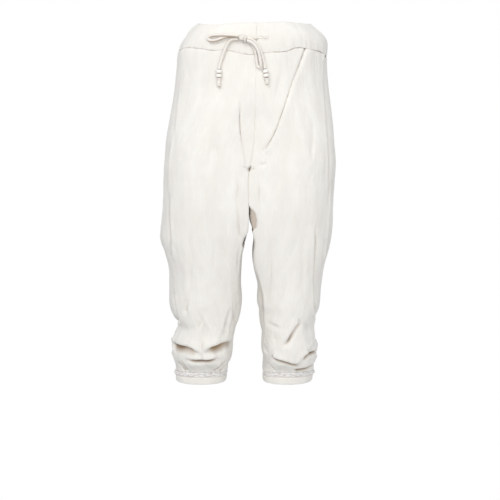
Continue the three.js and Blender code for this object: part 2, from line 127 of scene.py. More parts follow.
def ease(value, low, high):
    """0 below low, 1 above high, and a soft step between."""
    t = np.clip((value - low) / (high - low), 0, 1)
    return t * t * (3 - 2 * t)


def column(table, name, at):
    """A smooth curve through one column of a table, at the given heights or angles."""
    keys, values = table[:, 0], table[:, name]
    way = np.sign(keys[1] - keys[0])
    last = len(keys) - 1
    index = np.arange(last + 1)
    before, after = np.maximum(index - 1, 0), np.minimum(index + 1, last)
    slope = (values[after] - values[before]) / (keys[after] - keys[before])
    i = np.clip(np.searchsorted(keys * way, np.asarray(at) * way, side="left") - 1, 0, last - 1)
    step = keys[i + 1] - keys[i]
    t = np.clip((at - keys[i]) / step, 0, 1)
    t2, t3 = t ** 2, t ** 3
    return ((2 * t3 - 3 * t2 + 1) * values[i] + (t3 - 2 * t2 + t) * step * slope[i]
            + (3 * t2 - 2 * t3) * values[i + 1] + (t3 - t2) * step * slope[i + 1])


def fork_angle(face, z):
    """How far the section has divided into two legs: 0 at the hip, a right angle at the crotch."""
    down = np.clip((HIP - z) / (HIP - CROTCH), 0, 1)
    sooner = 1 + FORK_POWER * (1 - down) if face is FRONT_FACE else 1
    return np.pi / 2 * down ** FORK_POWER * sooner


def form_point(leg, face, share, z):
    """The smooth worn form, from the side seam (share 0) to the centre or the inner leg (1)."""
    fork = fork_angle(face, z)
    whole = np.pi / 2 + fork
    angle = share * whole
    out = column(SECTIONS, leg["out"], z)
    inner = column(SECTIONS, leg["inner"], z) + leg["side"] * SEAM_GAP / 2
    middle = inner + (out - inner) * (fork / whole)
    turn = np.cos(angle)
    past = (middle - inner) * turn / np.maximum(np.sin(fork), 1e-6)
    x = np.where(turn >= 0, middle + (out - middle) * turn, middle + past)
    fullness = np.where(turn >= 0, FULLNESS,
                        PRESSED + (UNPRESSED - PRESSED) * ease(-z, -PRESSED_TO, -UNPRESSED_FROM))
    depth = column(SECTIONS, face["depth"], z)
    y = depth * np.maximum(np.sin(angle), 0) ** fullness
    if face is FRONT_FACE:
        # the flat, the bend and the part that lies against the other leg, by their lengths
        press = ease(-z, PRESS_FROM, PRESS_WHOLE) * (1 - ease(-z, PRESS_END, PRESS_GONE)) * (turn < 0)
        edge = depth * (1 - PRESS_SAG) - PRESS_BEND
        behind = edge * ease(CROTCH - z, -15, 0)
        across = np.maximum(np.abs(middle - inner) - PRESS_BEND, 1)
        lengths = [across, PRESS_BEND * 4, 0.4 * behind]
        gone = np.clip((angle - np.pi / 2) / np.maximum(fork, 1e-6), 0, 1) * sum(lengths)
        flat = np.clip(gone / lengths[0], 0, 1)
        bend = np.clip((gone - lengths[0]) / lengths[1], 0, 1) * np.pi / 2
        back = np.clip((gone - lengths[0] - lengths[1]) / np.maximum(lengths[2], 1e-6), 0, 1)
        reach = (flat * across + PRESS_BEND * np.sin(bend)) / (across + PRESS_BEND)
        pressed_x = middle + (inner - middle) * reach
        pressed_y = depth * (1 - PRESS_SAG * flat ** 2) - PRESS_BEND * (1 - np.cos(bend)) - behind * back
        x, y = x + (pressed_x - x) * press, y + (pressed_y - y) * press
    return np.stack([x, column(SECTIONS, LEAN, z) + face["y"] * y, z + 0 * x], axis=-1)


def unit(vectors):
    return vectors / np.maximum(np.linalg.norm(vectors, axis=-1, keepdims=True), 1e-9)


def form_normal(leg, face, share, z):
    """The way out of the smooth form."""
    s0, s1 = np.maximum(share - 0.01, 0), np.minimum(share + 0.01, 1)
    z0, z1 = np.maximum(z - 1.5, SECTIONS[-1, HEIGHT]), np.minimum(z + 1.5, 0)
    around = form_point(leg, face, s1, z) - form_point(leg, face, s0, z)
    up = form_point(leg, face, share, z1) - form_point(leg, face, share, z0)
    return unit(np.cross(around, up) * leg["side"] * face["y"])


def waist_edge(leg, face, share, edge):
    """The height of the waistband's seam or of its top."""
    if face is FRONT_FACE:
        return column(WAIST, leg[edge], share * 90)
    beside = WAIST[0, leg[edge]]
    return beside + (AT_BACK[edge] - beside) * ease(share, 0, 1)


def above_hem(height, share):
    """A height on the cuff, which is lower at each side of the leg."""
    drop = HEM_SIDE_DROP * np.cos(share * np.pi) ** 2
    return HEM - drop + height * (CUFF_SIDE_SHARE + (1 - CUFF_SIDE_SHARE) * np.sin(share * np.pi))


def slack(u, v, seed):
    """Soft unevenness, about -1 to 1, one swell to a unit, the same every time."""
    u, v = np.broadcast_arrays(np.asarray(u, float), np.asarray(v, float))
    i, j = np.floor(u), np.floor(v)
    fu, fv = u - i, v - j

    def corner(a, b):
        turn = np.sin((i + a) * 127.1 + (j + b) * 311.7 + seed * 74.7) * 43758.5453
        turn = 2 * np.pi * (turn - np.floor(turn))
        return np.cos(turn) * (fu - a) + np.sin(turn) * (fv - b)

    su = fu ** 3 * (fu * (fu * 6 - 15) + 10)
    sv = fv ** 3 * (fv * (fv * 6 - 15) + 10)
    low = corner(0, 0) * (1 - su) + corner(1, 0) * su
    high = corner(0, 1) * (1 - su) + corner(1, 1) * su
    return 1.5 * (low * (1 - sv) + high * sv)


def wrinkles(u, v, seed):
    """Narrow valleys that wander and die away, from 0 to -1."""
    line = slack(u + 0.4 * slack(u / 2, v / 2, seed + 7), v, seed)
    return -np.exp(-(line / 0.15) ** 2) * ease(slack(u * 0.8 + 9, v * 1.1, seed + 5), -0.15, 0.45)


def smooth_line(points, count):
    """An even, smooth line through given points."""
    points = np.array(points, float)
    ends = np.vstack([2 * points[0] - points[1], points, 2 * points[-1] - points[-2]])
    fine = []
    for k in range(len(points) - 1):
        p0, p1, p2, p3 = ends[k:k + 4]
        t = np.linspace(0, 1, 24, endpoint=False)[:, None]
        fine.append(0.5 * (2 * p1 + (p2 - p0) * t + (2 * p0 - 5 * p1 + 4 * p2 - p3) * t ** 2
                           + (3 * p1 - p0 - 3 * p2 + p3) * t ** 3))
    fine = np.vstack(fine + [points[-1:]])
    run = np.concatenate([[0], np.cumsum(np.linalg.norm(np.diff(fine, axis=0), axis=1))])
    at = np.linspace(0, run[-1], count)
    return np.stack([np.interp(at, run, fine[:, k]) for k in range(fine.shape[1])], axis=1)


# Creases, as seen from the front: the points x, z each one runs through, how wide and deep its
# trough is, how high the lip beside it stands and how far that reaches (a lip above 0 is on the
# left of the way the line runs), how far the lip hangs over the trough, how long its two ends
# fade, and how many times wider the trough is on the side away from the lip.
WIDE, DEEP, LIP, REACH, HANG, START, END, SLOPE = range(1, 9)
FRONT_CREASES = [
    # the long drag line from the waist to the crotch, and the two that meet it there
    [[(108, -52), (92, -95), (76, -136), (61, -180), (46, -222), (30, -252), (17, -268)],
     2.3, 3.6, 2.6, 14, 2, 0.01, 0.06, 1.3],
    [[(-27, -150), (-30, -180), (-30, -221), (-24, -259), (-14, -312)], 2.4, 3.8, -1, 10, 1, 0.2, 0.14, 1.5],
    [[(6, -226), (1, -250), (-6, -284), (-10, -312)], 2.2, 3.8, -0.8, 8, 0.8, 0.3, 0.2, 1.5],
    [[(8, -291), (17, -293), (27, -290)], 2, 2.6, 0.3, 6, 0.3, 0.3, 0.3, 1.6],
    # along the inner leg
    [[(-31, -312), (-34, -360), (-33, -400), (-28, -462)], 2.4, 3.4, 0.8, 10, 0.9, 0.25, 0.15, 1.6],
    [[(11, -319), (10, -373), (8, -415)], 2.2, 3, 0.6, 9, 0.5, 0.3, 0.2, 1.6],
    [[(-28, -462), (-34, -500), (-37, -548)], 2.4, 2.6, 0.8, 10, 0.6, 0.3, 0.4, 1.6],
    [[(4, -520), (12, -552), (19, -590), (21, -630), (23, -668), (30, -704)],
     2.8, 4.4, 2, 8, 1.4, 0.2, 0.2, 3],
    [[(-46, -590), (-47, -625), (-52, -660), (-56, -690)], 2.8, 3, -1.8, 9, 0.8, 0.3, 0.3, 1.6],
    # down the outer side of the left leg
    [[(150, -60), (152, -70), (154, -84)], 3, 6.4, -2, 8, 0.5, 0.1, 0.4, 1.6],
    [[(148, -70), (149, -130), (153, -195), (158, -262), (160, -330), (158, -392)],
     3, 4, -1, 14, 1.2, 0.15, 0.15, 1.6],
    [[(131, -418), (130, -470), (129, -527), (132, -590), (136, -634)],
     2.8, 5.6, -1.6, 12, 2, 0.2, 0.04, 1.6],
    [[(152, -452), (149, -500), (147, -548)], 2.6, 3.4, -2, 9, 1, 0.25, 0.25, 1.6],
    [[(168, -300), (167, -372), (164, -420), (160, -480), (154, -536)], 3, 5, -3, 8, 1.4, 0.2, 0.2, 1.6],
    [[(121, -196), (123, -240), (119, -300)], 4, 1.8, 1, 14, 0, 0.4, 0.4, 2],
    # down the outer side of the right leg
    [[(-160, -120), (-166, -180), (-172, -250)], 3.4, 2, 1.6, 12, 0.4, 0.35, 0.35, 1.8],
    [[(-176, -236), (-184, -300), (-187, -380)], 3, 3.4, 2, 9, 0.8, 0.3, 0.3, 1.6],
    [[(-179, -345), (-182, -400), (-180, -450), (-182, -508)], 3, 4.6, 2.4, 10, 1.4, 0.25, 0.1, 1.6],
    [[(-176, -572), (-173, -604), (-168, -630), (-160, -646)], 2.4, 4, 1, 9, 1, 0.3, 0.06, 1.5],
    [[(-171, -636), (-169, -646), (-171, -658)], 2, 5.4, 0.6, 5, 0.3, 0.3, 0.3, 1.3],
    # soft hanging folds over the thighs
    [[(-101, -300), (-103, -360), (-104, -450)], 4.6, 2, 1, 16, 0, 0.4, 0.4, 2],
    [[(-137, -430), (-138, -500), (-140, -575)], 3.6, 2.6, -1.6, 14, 0.4, 0.35, 0.35, 1.8],
    [[(-60, -380), (-61, -460), (-57, -540)], 4, 2.2, 1.4, 14, 0.2, 0.4, 0.4, 1.8],
    [[(-86, -430), (-85, -480), (-88, -530)], 4, 1.5, -0.8, 12, 0, 0.4, 0.4, 1.8],
    [[(-74, -196), (-80, -250), (-72, -300)], 5, 1.6, 1, 16, 0, 0.4, 0.4, 2],
    [[(-98, -206), (-92, -260), (-96, -310)], 5, 1.3, -1, 14, 0, 0.4, 0.4, 2],
    [[(33, -435), (35, -510), (32, -588)], 3.6, 2, 1.2, 12, 0.2, 0.4, 0.4, 1.8],
    [[(104, -430), (106, -500), (105, -575)], 4, 2, 1.4, 14, 0.2, 0.4, 0.4, 1.8],
    [[(70, -340), (74, -400), (70, -470)], 5, 1.3, 1, 14, 0, 0.4, 0.4, 2],
    [[(62, -520), (66, -570), (62, -630)], 4.4, 1.6, -1.2, 12, 0, 0.4, 0.4, 2],
    [[(-8, -105), (-12, -140), (-10, -200)], 4.6, 1.3, 0.8, 12, 0, 0.4, 0.4, 2],
    [[(60, -80), (52, -120), (38, -180)], 5, 1.2, -0.8, 12, 0, 0.4, 0.4, 2],
    # round the knee
    [[(-92, -592), (-101, -612), (-117, -640), (-129, -674)], 6, 3, 3.4, 17, 0, 0.3, 0.35, 1.8],
    [[(-80, -590), (-96, -622), (-112, -655), (-114, -690)], 6, 2.6, -2.4, 16, 0, 0.35, 0.3, 1.8],
    [[(-142, -586), (-146, -604), (-148, -628)], 3.4, 3.2, 1.4, 9, 0.6, 0.3, 0.3, 1.8],
    [[(-49, -600), (-60, -639), (-66, -672)], 3.6, 3.4, -1.6, 12, 0.5, 0.35, 0.35, 1.8],
    [[(-36, -597), (-42, -630), (-44, -656)], 3, 3.4, -1.4, 9, 0.6, 0.3, 0.3, 1.8],
    [[(103, -636), (92, -651), (81, -667), (71, -684), (61, -703)], 4, 6, -4, 14, 1.6, 0.14, 0.36, 1.8],
    [[(104, -640), (116, -652), (128, -680)], 4, 2.6, 2, 13, 0.6, 0.35, 0.35, 2],
    [[(22, -636), (44, -648), (66, -654)], 4.4, 1.6, 1.4, 12, 0, 0.4, 0.4, 2],
    # the swags above the right cuff, which meet in a point, and the deep tuck below them
    [[(-182, -699), (-166, -697), (-150, -697), (-137, -700), (-126, -708), (-117, -721)],
     5, 8.2, 5.4, 18, 3, 0.05, 0.5, 3.4],
    [[(-116, -722), (-108, -709), (-95, -697), (-78, -692), (-62, -690), (-41, -697)],
     5.2, 8.6, 5.4, 18, 3, 0.5, 0.05, 3.4],
    [[(-115, -672), (-114, -694), (-116, -720)], 4, 3, 2.4, 11, 0, 0.4, 0.1, 1.4],
    [[(-156, -727), (-136, -725), (-114, -723.5), (-93, -723.5), (-71, -725)],
     3.8, 14, 6, 9, 4, 0.42, 0.42, 1.9],
    # the tucks above the left cuff
    [[(38, -716), (56, -723), (75, -729), (92, -734), (108, -738)], 4.2, 12, 5, 10, 5.4, 0.12, 0.36, 1.8],
    [[(110, -732), (112, -719), (122, -712), (134, -714), (147, -718)], 4.6, 12, 4, 9, 5, 0.24, 0.04, 1.7],
    [[(84, -753), (101, -749.5), (118, -747), (139, -744)], 4.4, 15, 5, 8, 4, 0.3, 0.04, 1.8],
    [[(112, -700), (124, -704), (136, -698)], 3.4, 3, 3, 9, 1, 0.3, 0.3, 2],
    [[(20, -696), (24, -708), (30, -720)], 2.8, 3, -2, 7, 0.5, 0.3, 0.3, 1.6],
    # short gathers that fan out over the cuffs
    [[(-170, -733), (-161, -745), (-151, -758)], 2.8, 7, 2.4, 5, 1.4, 0.3, 0.1, 1.6],
    [[(-162, -730), (-154, -742), (-144, -755)], 2.4, 6, 2, 5, 1, 0.3, 0.1, 1.6],
    [[(-60, -731), (-75, -743), (-92, -758)], 2.8, 8, -2.8, 6, 1.8, 0.25, 0.1, 1.6],
    [[(-56, -741), (-66, -750), (-79, -760)], 2.6, 7, -2, 5, 1.4, 0.3, 0.1, 1.6],
    [[(28, -734), (40, -747), (54, -758)], 2.4, 2.4, 1.8, 6, 0.3, 0.4, 0.2, 1.6],
    [[(70, -752), (82, -758), (98, -766)], 2.4, 2, 1.6, 6, 0.3, 0.4, 0.2, 1.6],
]
# Creases on the back, as seen through from the front.
BACK_CREASES = [
    [[(-96, -296), (-62, -318), (-26, -331)], 3.4, 4, 3, 14, 1.4, 0.3, 0.1, 2],
    [[(96, -300), (60, -322), (22, -333)], 3.4, 4, -3, 14, 1.4, 0.3, 0.1, 2],
    [[(-84, -322), (-54, -340), (-30, -348)], 3.2, 3, 2, 11, 0.8, 0.35, 0.2, 2],
    [[(80, -330), (50, -346), (26, -352)], 3.2, 3, -2, 11, 0.8, 0.35, 0.2, 2],
    [[(-58, -84), (-66, -140), (-76, -196)], 4.4, 2, 1.4, 16, 0.2, 0.3, 0.4, 2],
    [[(70, -84), (73, -130), (80, -184)], 4.4, 2, 1.4, 16, 0.2, 0.3, 0.4, 2],
    [[(-118, -370), (-122, -460), (-126, -560)], 4, 2.8, 2, 14, 0.6, 0.35, 0.35, 2],
    [[(-72, -360), (-66, -440), (-60, -520)], 4, 2.6, -1.8, 13, 0.6, 0.35, 0.35, 2],
    [[(112, -380), (108, -490), (103, -600)], 4, 2.8, 2, 14, 0.6, 0.35, 0.35, 2],
    [[(50, -370), (49, -450), (46, -540)], 4, 2.6, -1.8, 13, 0.6, 0.35, 0.35, 2],
    [[(-154, -596), (-122, -622), (-78, -658)], 3.4, 4.6, 3.6, 14, 2, 0.25, 0.25, 2.4],
    [[(126, -584), (92, -612), (48, -642)], 3.4, 4.6, -3.6, 14, 2, 0.25, 0.25, 2.4],
    [[(-140, -640), (-112, -656), (-84, -690)], 3.2, 3.4, 2.4, 11, 1.2, 0.3, 0.3, 2],
    [[(30, -660), (60, -672), (96, -664)], 3.2, 3.4, 2.4, 11, 1.2, 0.3, 0.3, 2],
    [[(-174, -698), (-140, -716), (-104, -722), (-58, -718)], 3.2, 7, 6, 14, 3, 0.15, 0.2, 3],
    [[(28, -716), (62, -724), (98, -716), (132, -698)], 3.2, 7, 6, 14, 3, 0.2, 0.15, 3],
    [[(-150, -744), (-120, -740), (-88, -746)], 2.8, 5, 4, 9, 2.2, 0.25, 0.25, 2.4],
    [[(46, -748), (76, -742), (106, -748)], 2.8, 5, 4, 9, 2.2, 0.25, 0.25, 2.4],
]
# Creases over the side seam: how far in front of the seam (less than 0 is behind), then the height.
SIDE_CREASES = {
    "right": [
        [[(-6, -120), (-14, -200), (-4, -300)], 4.5, 2, 1.4, 14, 0, 0.35, 0.35, 2],
        [[(30, -330), (22, -400), (14, -452), (22, -500)], 3.4, 3.4, 2, 12, 0.8, 0.3, 0.2, 2],
        [[(-24, -360), (-20, -440), (-6, -505)], 3.4, 3.4, -2, 12, 0.8, 0.3, 0.2, 2],
        [[(-40, -560), (-30, -610), (-36, -650)], 3.4, 3, 2, 10, 0.8, 0.3, 0.3, 2],
        [[(34, -636), (12, -654), (-22, -650)], 3, 4, 3, 10, 1.8, 0.3, 0.3, 2],
        [[(30, -676), (6, -692), (-34, -686)], 3, 5, 4, 11, 2.4, 0.25, 0.3, 2.4],
        [[(26, -716), (0, -726), (-30, -718)], 3, 4.4, 4, 10, 2, 0.3, 0.3, 2.4],
    ],
    "left": [
        [[(8, -110), (14, -190), (6, -280)], 4.5, 2, -1.4, 14, 0, 0.35, 0.35, 2],
        [[(20, -330), (14, -400), (4, -460), (10, -520)], 3.4, 3.4, -2, 12, 0.8, 0.3, 0.2, 2],
        [[(-26, -400), (-20, -470), (-10, -540)], 3.4, 3.4, 2, 12, 0.8, 0.3, 0.2, 2],
        [[(-36, -560), (-26, -600), (-34, -646)], 3.4, 3, -2, 10, 0.8, 0.3, 0.3, 2],
        [[(34, -630), (8, -648), (-26, -640)], 3, 4, 3, 10, 1.8, 0.3, 0.3, 2],
        [[(30, -690), (0, -704), (-36, -698)], 3, 5, 4, 11, 2.4, 0.25, 0.3, 2.4],
        [[(20, -728), (-6, -734), (-34, -728)], 3, 4.4, 4, 10, 2, 0.3, 0.3, 2.4],
    ],
}


def crease(x, z, row):
    """How far one crease lifts the cloth and slides it in x and z, and how deep in its fold, at each x, z."""
    line = smooth_line(row[0], 26)
    lift, slide_x, slide_z, deep = (np.zeros_like(x) for _ in range(4))
    spread = 3 * max(row[REACH], row[WIDE])
    near = ((x > line[:, 0].min() - spread) & (x < line[:, 0].max() + spread)
            & (z > line[:, 1].min() - spread) & (z < line[:, 1].max() + spread))
    px, pz = x[near], z[near]
    best = np.full(px.shape, 1e9)
    across, along, left_x, left_z = (np.zeros_like(px) for _ in range(4))
    for k, (a, b) in enumerate(zip(line[:-1], line[1:])):
        run = b - a
        long = float(np.hypot(*run))
        t = np.clip(((px - a[0]) * run[0] + (pz - a[1]) * run[1]) / long ** 2, 0, 1)
        dx, dz = px - a[0] - t * run[0], pz - a[1] - t * run[1]
        away = np.hypot(dx, dz)
        closer = away < best
        best = np.where(closer, away, best)
        side = np.sign(dz * run[0] - dx * run[1])
        across = np.where(closer, side * away, across)
        along = np.where(closer, (k + t) / (len(line) - 1), along)
        left_x = np.where(closer, -run[1] / long, left_x)
        left_z = np.where(closer, run[0] / long, left_z)
    fade = ease(along, 0, row[START]) * (1 - ease(along, 1 - row[END], 1))
    # no crease is quite even along its way
    fade *= 1 + 0.2 * np.sin(9 * along + line[0, 0])
    way = 1 if row[LIP] >= 0 else -1
    over = across * way
    wide, reach = row[WIDE], row[REACH]
    trough = np.exp(-(over / np.where(over > 0, wide, wide * row[SLOPE])) ** 2)
    lip = abs(row[LIP]) * (1 - trough) * np.exp(-(over / reach) ** 2) * np.where(over > 0, 1, 0.2)
    hang = -row[HANG] * way * np.exp(-((over - 1.5 * wide) / (1.3 * wide)) ** 2)
    lift[near] = fade * (lip - row[DEEP] * trough)
    slide_x[near] = fade * hang * left_x
    slide_z[near] = fade * hang * left_z
    deep[near] = fade * trough * row[DEEP]
    return lift, slide_x, slide_z, deep


def new_piece(name, replaced, material, points, faces, places=None, painted_shade=None):
    """A smooth piece from points in millimetres, with its cut laid flat as its UV map and any painted shade
    as an attribute.
    """
    mesh = bpy.data.meshes.new(name)
    mesh.from_pydata((points.reshape(-1, 3) * MM).tolist(), [], faces)
    layer = mesh.uv_layers.new(name="cut")
    if places is not None:
        corners = np.empty(len(mesh.loops), int)
        mesh.loops.foreach_get("vertex_index", corners)
        layer.data.foreach_set("uv", (places.reshape(-1, 2) * MM)[corners].ravel())
    if painted_shade is not None:
        mesh.attributes.new("painted_shade", "FLOAT", "POINT").data.foreach_set("value", painted_shade.ravel())
    mesh.polygons.foreach_set("use_smooth", np.ones(len(mesh.polygons), bool))
    mesh.materials.append(material)
    mesh.update()
    piece = bpy.data.objects.new(name, mesh)
    bpy.context.scene.collection.objects.link(piece)
    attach(piece, "root")
    if replaced:
        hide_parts(replaced)
    return piece


def thin_wall(name, replaced, material, outer, inner, cut, painted_shade, closed=False, flipped=False):
    """A closed thin shell of cloth between two grids of points."""
    count = outer[..., 0].size
    index = np.arange(count).reshape(outer.shape[:2])
    if closed:
        index = np.hstack([index, index[:, :1]])
    back = index + count
    left, right, back_left, back_right = index[:, :-1], index[:, 1:], back[:, :-1], back[:, 1:]
    sides = [
        (left[:-1], left[1:], right[1:], right[:-1]),
        (back_left[:-1], back_right[:-1], back_right[1:], back_left[1:]),
        (left[0], right[0], back_right[0], back_left[0]),
        (left[-1], back_left[-1], back_right[-1], right[-1]),
    ]
    if not closed:
        sides.append((index[:-1, 0], back[:-1, 0], back[1:, 0], index[1:, 0]))
        sides.append((index[:-1, -1], index[1:, -1], back[1:, -1], back[:-1, -1]))
    quads = np.vstack([np.stack(corners, -1).reshape(-1, 4) for corners in sides])
    if flipped:
        quads = quads[:, ::-1]
    return new_piece(name, replaced, material, np.vstack([outer, inner]), quads.tolist(),
                     np.vstack([cut, cut]), np.clip(np.vstack([painted_shade, painted_shade]), 0, 1))


def surface_normals(points, sign, closed=False):
    """The way out of a grid of points."""
    if closed:
        around = np.roll(points, -1, axis=1) - np.roll(points, 1, axis=1)
    else:
        around = np.gradient(points, axis=1)
    down = np.gradient(points, axis=0)
    return unit(np.cross(down, around) * sign)


def put(tree, made, inputs):
    """Gives a shader node's inputs their values, or links them to the sockets given."""
    for key, value in inputs.items():
        if isinstance(value, bpy.types.NodeSocket):
            tree.links.new(value, made.inputs[key])
        else:
            made.inputs[key].default_value = value


def node(tree, kind, inputs, **settings):
    """A shader node with its settings and its inputs."""
    made = tree.nodes.new(kind)
    for key, value in settings.items():
        setattr(made, key, value)
    put(tree, made, inputs)
    return made


def maths(tree, operation, *values):
    """One step of arithmetic on sockets and numbers."""
    return node(tree, "ShaderNodeMath", dict(enumerate(values)), operation=operation).outputs[0]


def remap(tree, value, low, high, to_low=0.0, to_high=1.0):
    """A value moved from one range into another, and held inside it."""
    limits = {"From Min": low, "From Max": high, "To Min": to_low, "To Max": to_high}
    return node(tree, "ShaderNodeMapRange", {"Value": value, **limits}).outputs["Result"]


def mix(tree, share, first, second, blend="MIX"):
    """Two colours mixed."""
    inputs = {"Factor": share, 6: first, 7: second}
    return node(tree, "ShaderNodeMix", inputs, data_type="RGBA", blend_type=blend).outputs[2]


def noise(tree, place, scale, detail, roughness=0.5):
    inputs = {"Vector": place, "Scale": scale, "Detail": detail, "Roughness": roughness}
    return node(tree, "ShaderNodeTexNoise", inputs).outputs["Fac"]


def split_cut(tree, place):
    """How far across and down its cut a place on the cloth lies."""
    return node(tree, "ShaderNodeSeparateXYZ", {0: place}).outputs[:2]


# The slub weave, built once for every cloth piece: warp and weft threads with thick and thin stretches,
# slight blotches in the undyed cotton, and painted shade multiplied in where a piece carries it.
weave = bpy.data.node_groups.new("slub_weave", "ShaderNodeTree")
for way, sockets in [
        ("INPUT", {"Cut": "Vector", "Cloth": "Color", "Shade": "Color", "Blush": "Color", "Fold Shade": "Float",
                   "Fold Shade Tint": "Color", "Threads": "Float", "Slub": "Float"}),
        ("OUTPUT", {"Colour": "Color", "Roughness": "Float", "Height": "Float"})]:
    for name, kind in sockets.items():
        weave.interface.new_socket(name, in_out=way, socket_type=f"NodeSocket{kind}")
given = node(weave, "NodeGroupInput", {}).outputs
across_cut, down_cut = split_cut(weave, given["Cut"])


def streaks(across_scale, down_scale, detail):
    """Noise in the weave, so many swells to a metre across and down the cut."""
    place = node(weave, "ShaderNodeCombineXYZ", {
        0: maths(weave, "MULTIPLY", across_cut, across_scale),
        1: maths(weave, "MULTIPLY", down_cut, down_scale),
    })
    return noise(weave, place.outputs[0], 1.0, detail, 0.55)


turns = maths(weave, "MULTIPLY", given["Threads"], math.pi)
warp = maths(weave, "SINE", maths(weave, "MULTIPLY", across_cut, turns))
weft = maths(weave, "SINE", maths(weave, "MULTIPLY", down_cut, turns))
threads = maths(weave, "MULTIPLY", warp, weft)
slubs = streaks(480.0, 26.0, 3.0)
thick_wefts = maths(weave, "MULTIPLY", streaks(40.0, 620.0, 2.0), 0.35)
blotches = maths(weave, "MULTIPLY", streaks(26.0, 11.0, 3.0), 0.9)
blushes = remap(weave, streaks(44.0, 20.0, 4.0), 0.44, 0.66, 0.0, 0.75)
slub_height = maths(weave, "MULTIPLY", maths(weave, "ADD", slubs, thick_wefts), given["Slub"])
tone = maths(weave, "ADD", maths(weave, "MULTIPLY", slubs, 0.5), blotches)
plain = mix(weave, remap(weave, tone, 0.45, 0.95), given["Shade"], given["Cloth"])
blushed = mix(weave, blushes, plain, given["Blush"])
node(weave, "NodeGroupOutput", {
    "Colour": mix(weave, given["Fold Shade"], blushed, given["Fold Shade Tint"], "MULTIPLY"),
    "Roughness": remap(weave, slubs, 0.3, 0.7, 0.82, 0.95),
    "Height": maths(weave, "ADD", maths(weave, "MULTIPLY", threads, 0.16), slub_height),
})


def new_material(name):
    material = bpy.data.materials.new(name)
    material.use_nodes = True
    return material, material.node_tree, material.node_tree.nodes["Principled BSDF"]


def woven(name, cloth, shade, blush, threads_to_metre, slub, relief, fold_shade_tint=(0.42, 0.3, 0.2)):
    """A matt cotton finish from the slub weave, its relief in metres, darkened towards its fold shade tint by
    painted shade.
    """
    material, tree, shader = new_material(name)
    cut = node(tree, "ShaderNodeUVMap", {}, uv_map="cut")
    painted_shade = node(tree, "ShaderNodeAttribute", {}, attribute_name="painted_shade")
    threads = node(tree, "ShaderNodeGroup", {
        "Cut": cut.outputs[0], "Cloth": (*cloth, 1), "Shade": (*shade, 1), "Blush": (*blush, 1),
        "Fold Shade": painted_shade.outputs["Fac"], "Fold Shade Tint": (*fold_shade_tint, 1),
        "Threads": threads_to_metre, "Slub": slub,
    }, node_tree=weave).outputs
    bump = node(tree, "ShaderNodeBump", {"Strength": 0.9, "Distance": relief, "Height": threads["Height"]})
    put(tree, shader, {
        "Base Color": threads["Colour"], "Roughness": threads["Roughness"], "Normal": bump.outputs[0],
        "Specular IOR Level": 0.2, "Sheen Weight": 0.25, "Sheen Roughness": 0.5,
    })
    material.diffuse_color = (*cloth, 1)
    return material


COTTON = (0.865, 0.838, 0.785)
COTTON_SHADE = (0.79, 0.762, 0.7)
COTTON_BLUSH = (0.81, 0.768, 0.725)
COTTON_THREADS = 1100.0
cotton = woven("slub_cotton", COTTON, COTTON_SHADE, COTTON_BLUSH, COTTON_THREADS, 0.5, 0.0005)

# Where the front panel turns back and the inner side of the leg shows in its shade, sunk back and darkened
# with painted shade: the height, and how far across the front edge of the shade is. Then how deep the shade
# lies.
TURNED_BACK = {
    "left": np.array([[-372, -14], [-381, -10], [-389, -2], [-397, 5], [-410, 8], [-428, 7],
                      [-437, -4], [-446, -20]]),
    "right": np.array([[-430, -4], [-440, -15], [-452, -22.5], [-464, -27], [-474, -24], [-484, -10]]),
}
TURNED_DEPTH = 5
# A spot of painted shade in the pinch where the four seams meet at the crotch: its height, and how tall and
# wide it is.
PINCH_SHADE_AT, PINCH_SHADE_TALL, PINCH_SHADE_WIDE = -303, 7, 2.4
# Slack cloth: how far its ripples stand off, and how much more over the cuffs, how wide and long one
# is, and its seed; then the narrow valleys in it, the same way.
RIPPLES = [(1.4, 0.6, 34, 190, 0), (0.5, 0.5, 14, 80, 1), (0.16, 0.22, 6, 30, 2)]
VALLEYS = [(0.5, 0.2, 22, 95, 13), (0, 0.3, 26, 34, 17)]
# Gathers under the waistband and over the cuff: how far they reach, how far they stand off, and how
# wide and long one is.
UNDER_BAND, OVER_CUFF = (10, 1.2, 7, 60), (13, 1.6, 5.2, 40)
# Painted shade darkens the cloth in a fold deeper than this, and is darkest so much deeper.
DARK_FROM, DARKEST_BY = 2.6, 6
# Below this height the legs stand apart, and a fold may reach past the line of the inner leg.
LEGS_APART = -440
# The mesh: its columns, and its rows above and below the height where the small folds begin.
PANEL_GRID = {"front": (138, 190, 104), "back": (96, 120, 70)}
FINE_FROM = -640
# A crease that starts this near the centre is laid on both legs.
NEAR_CENTRE = 20


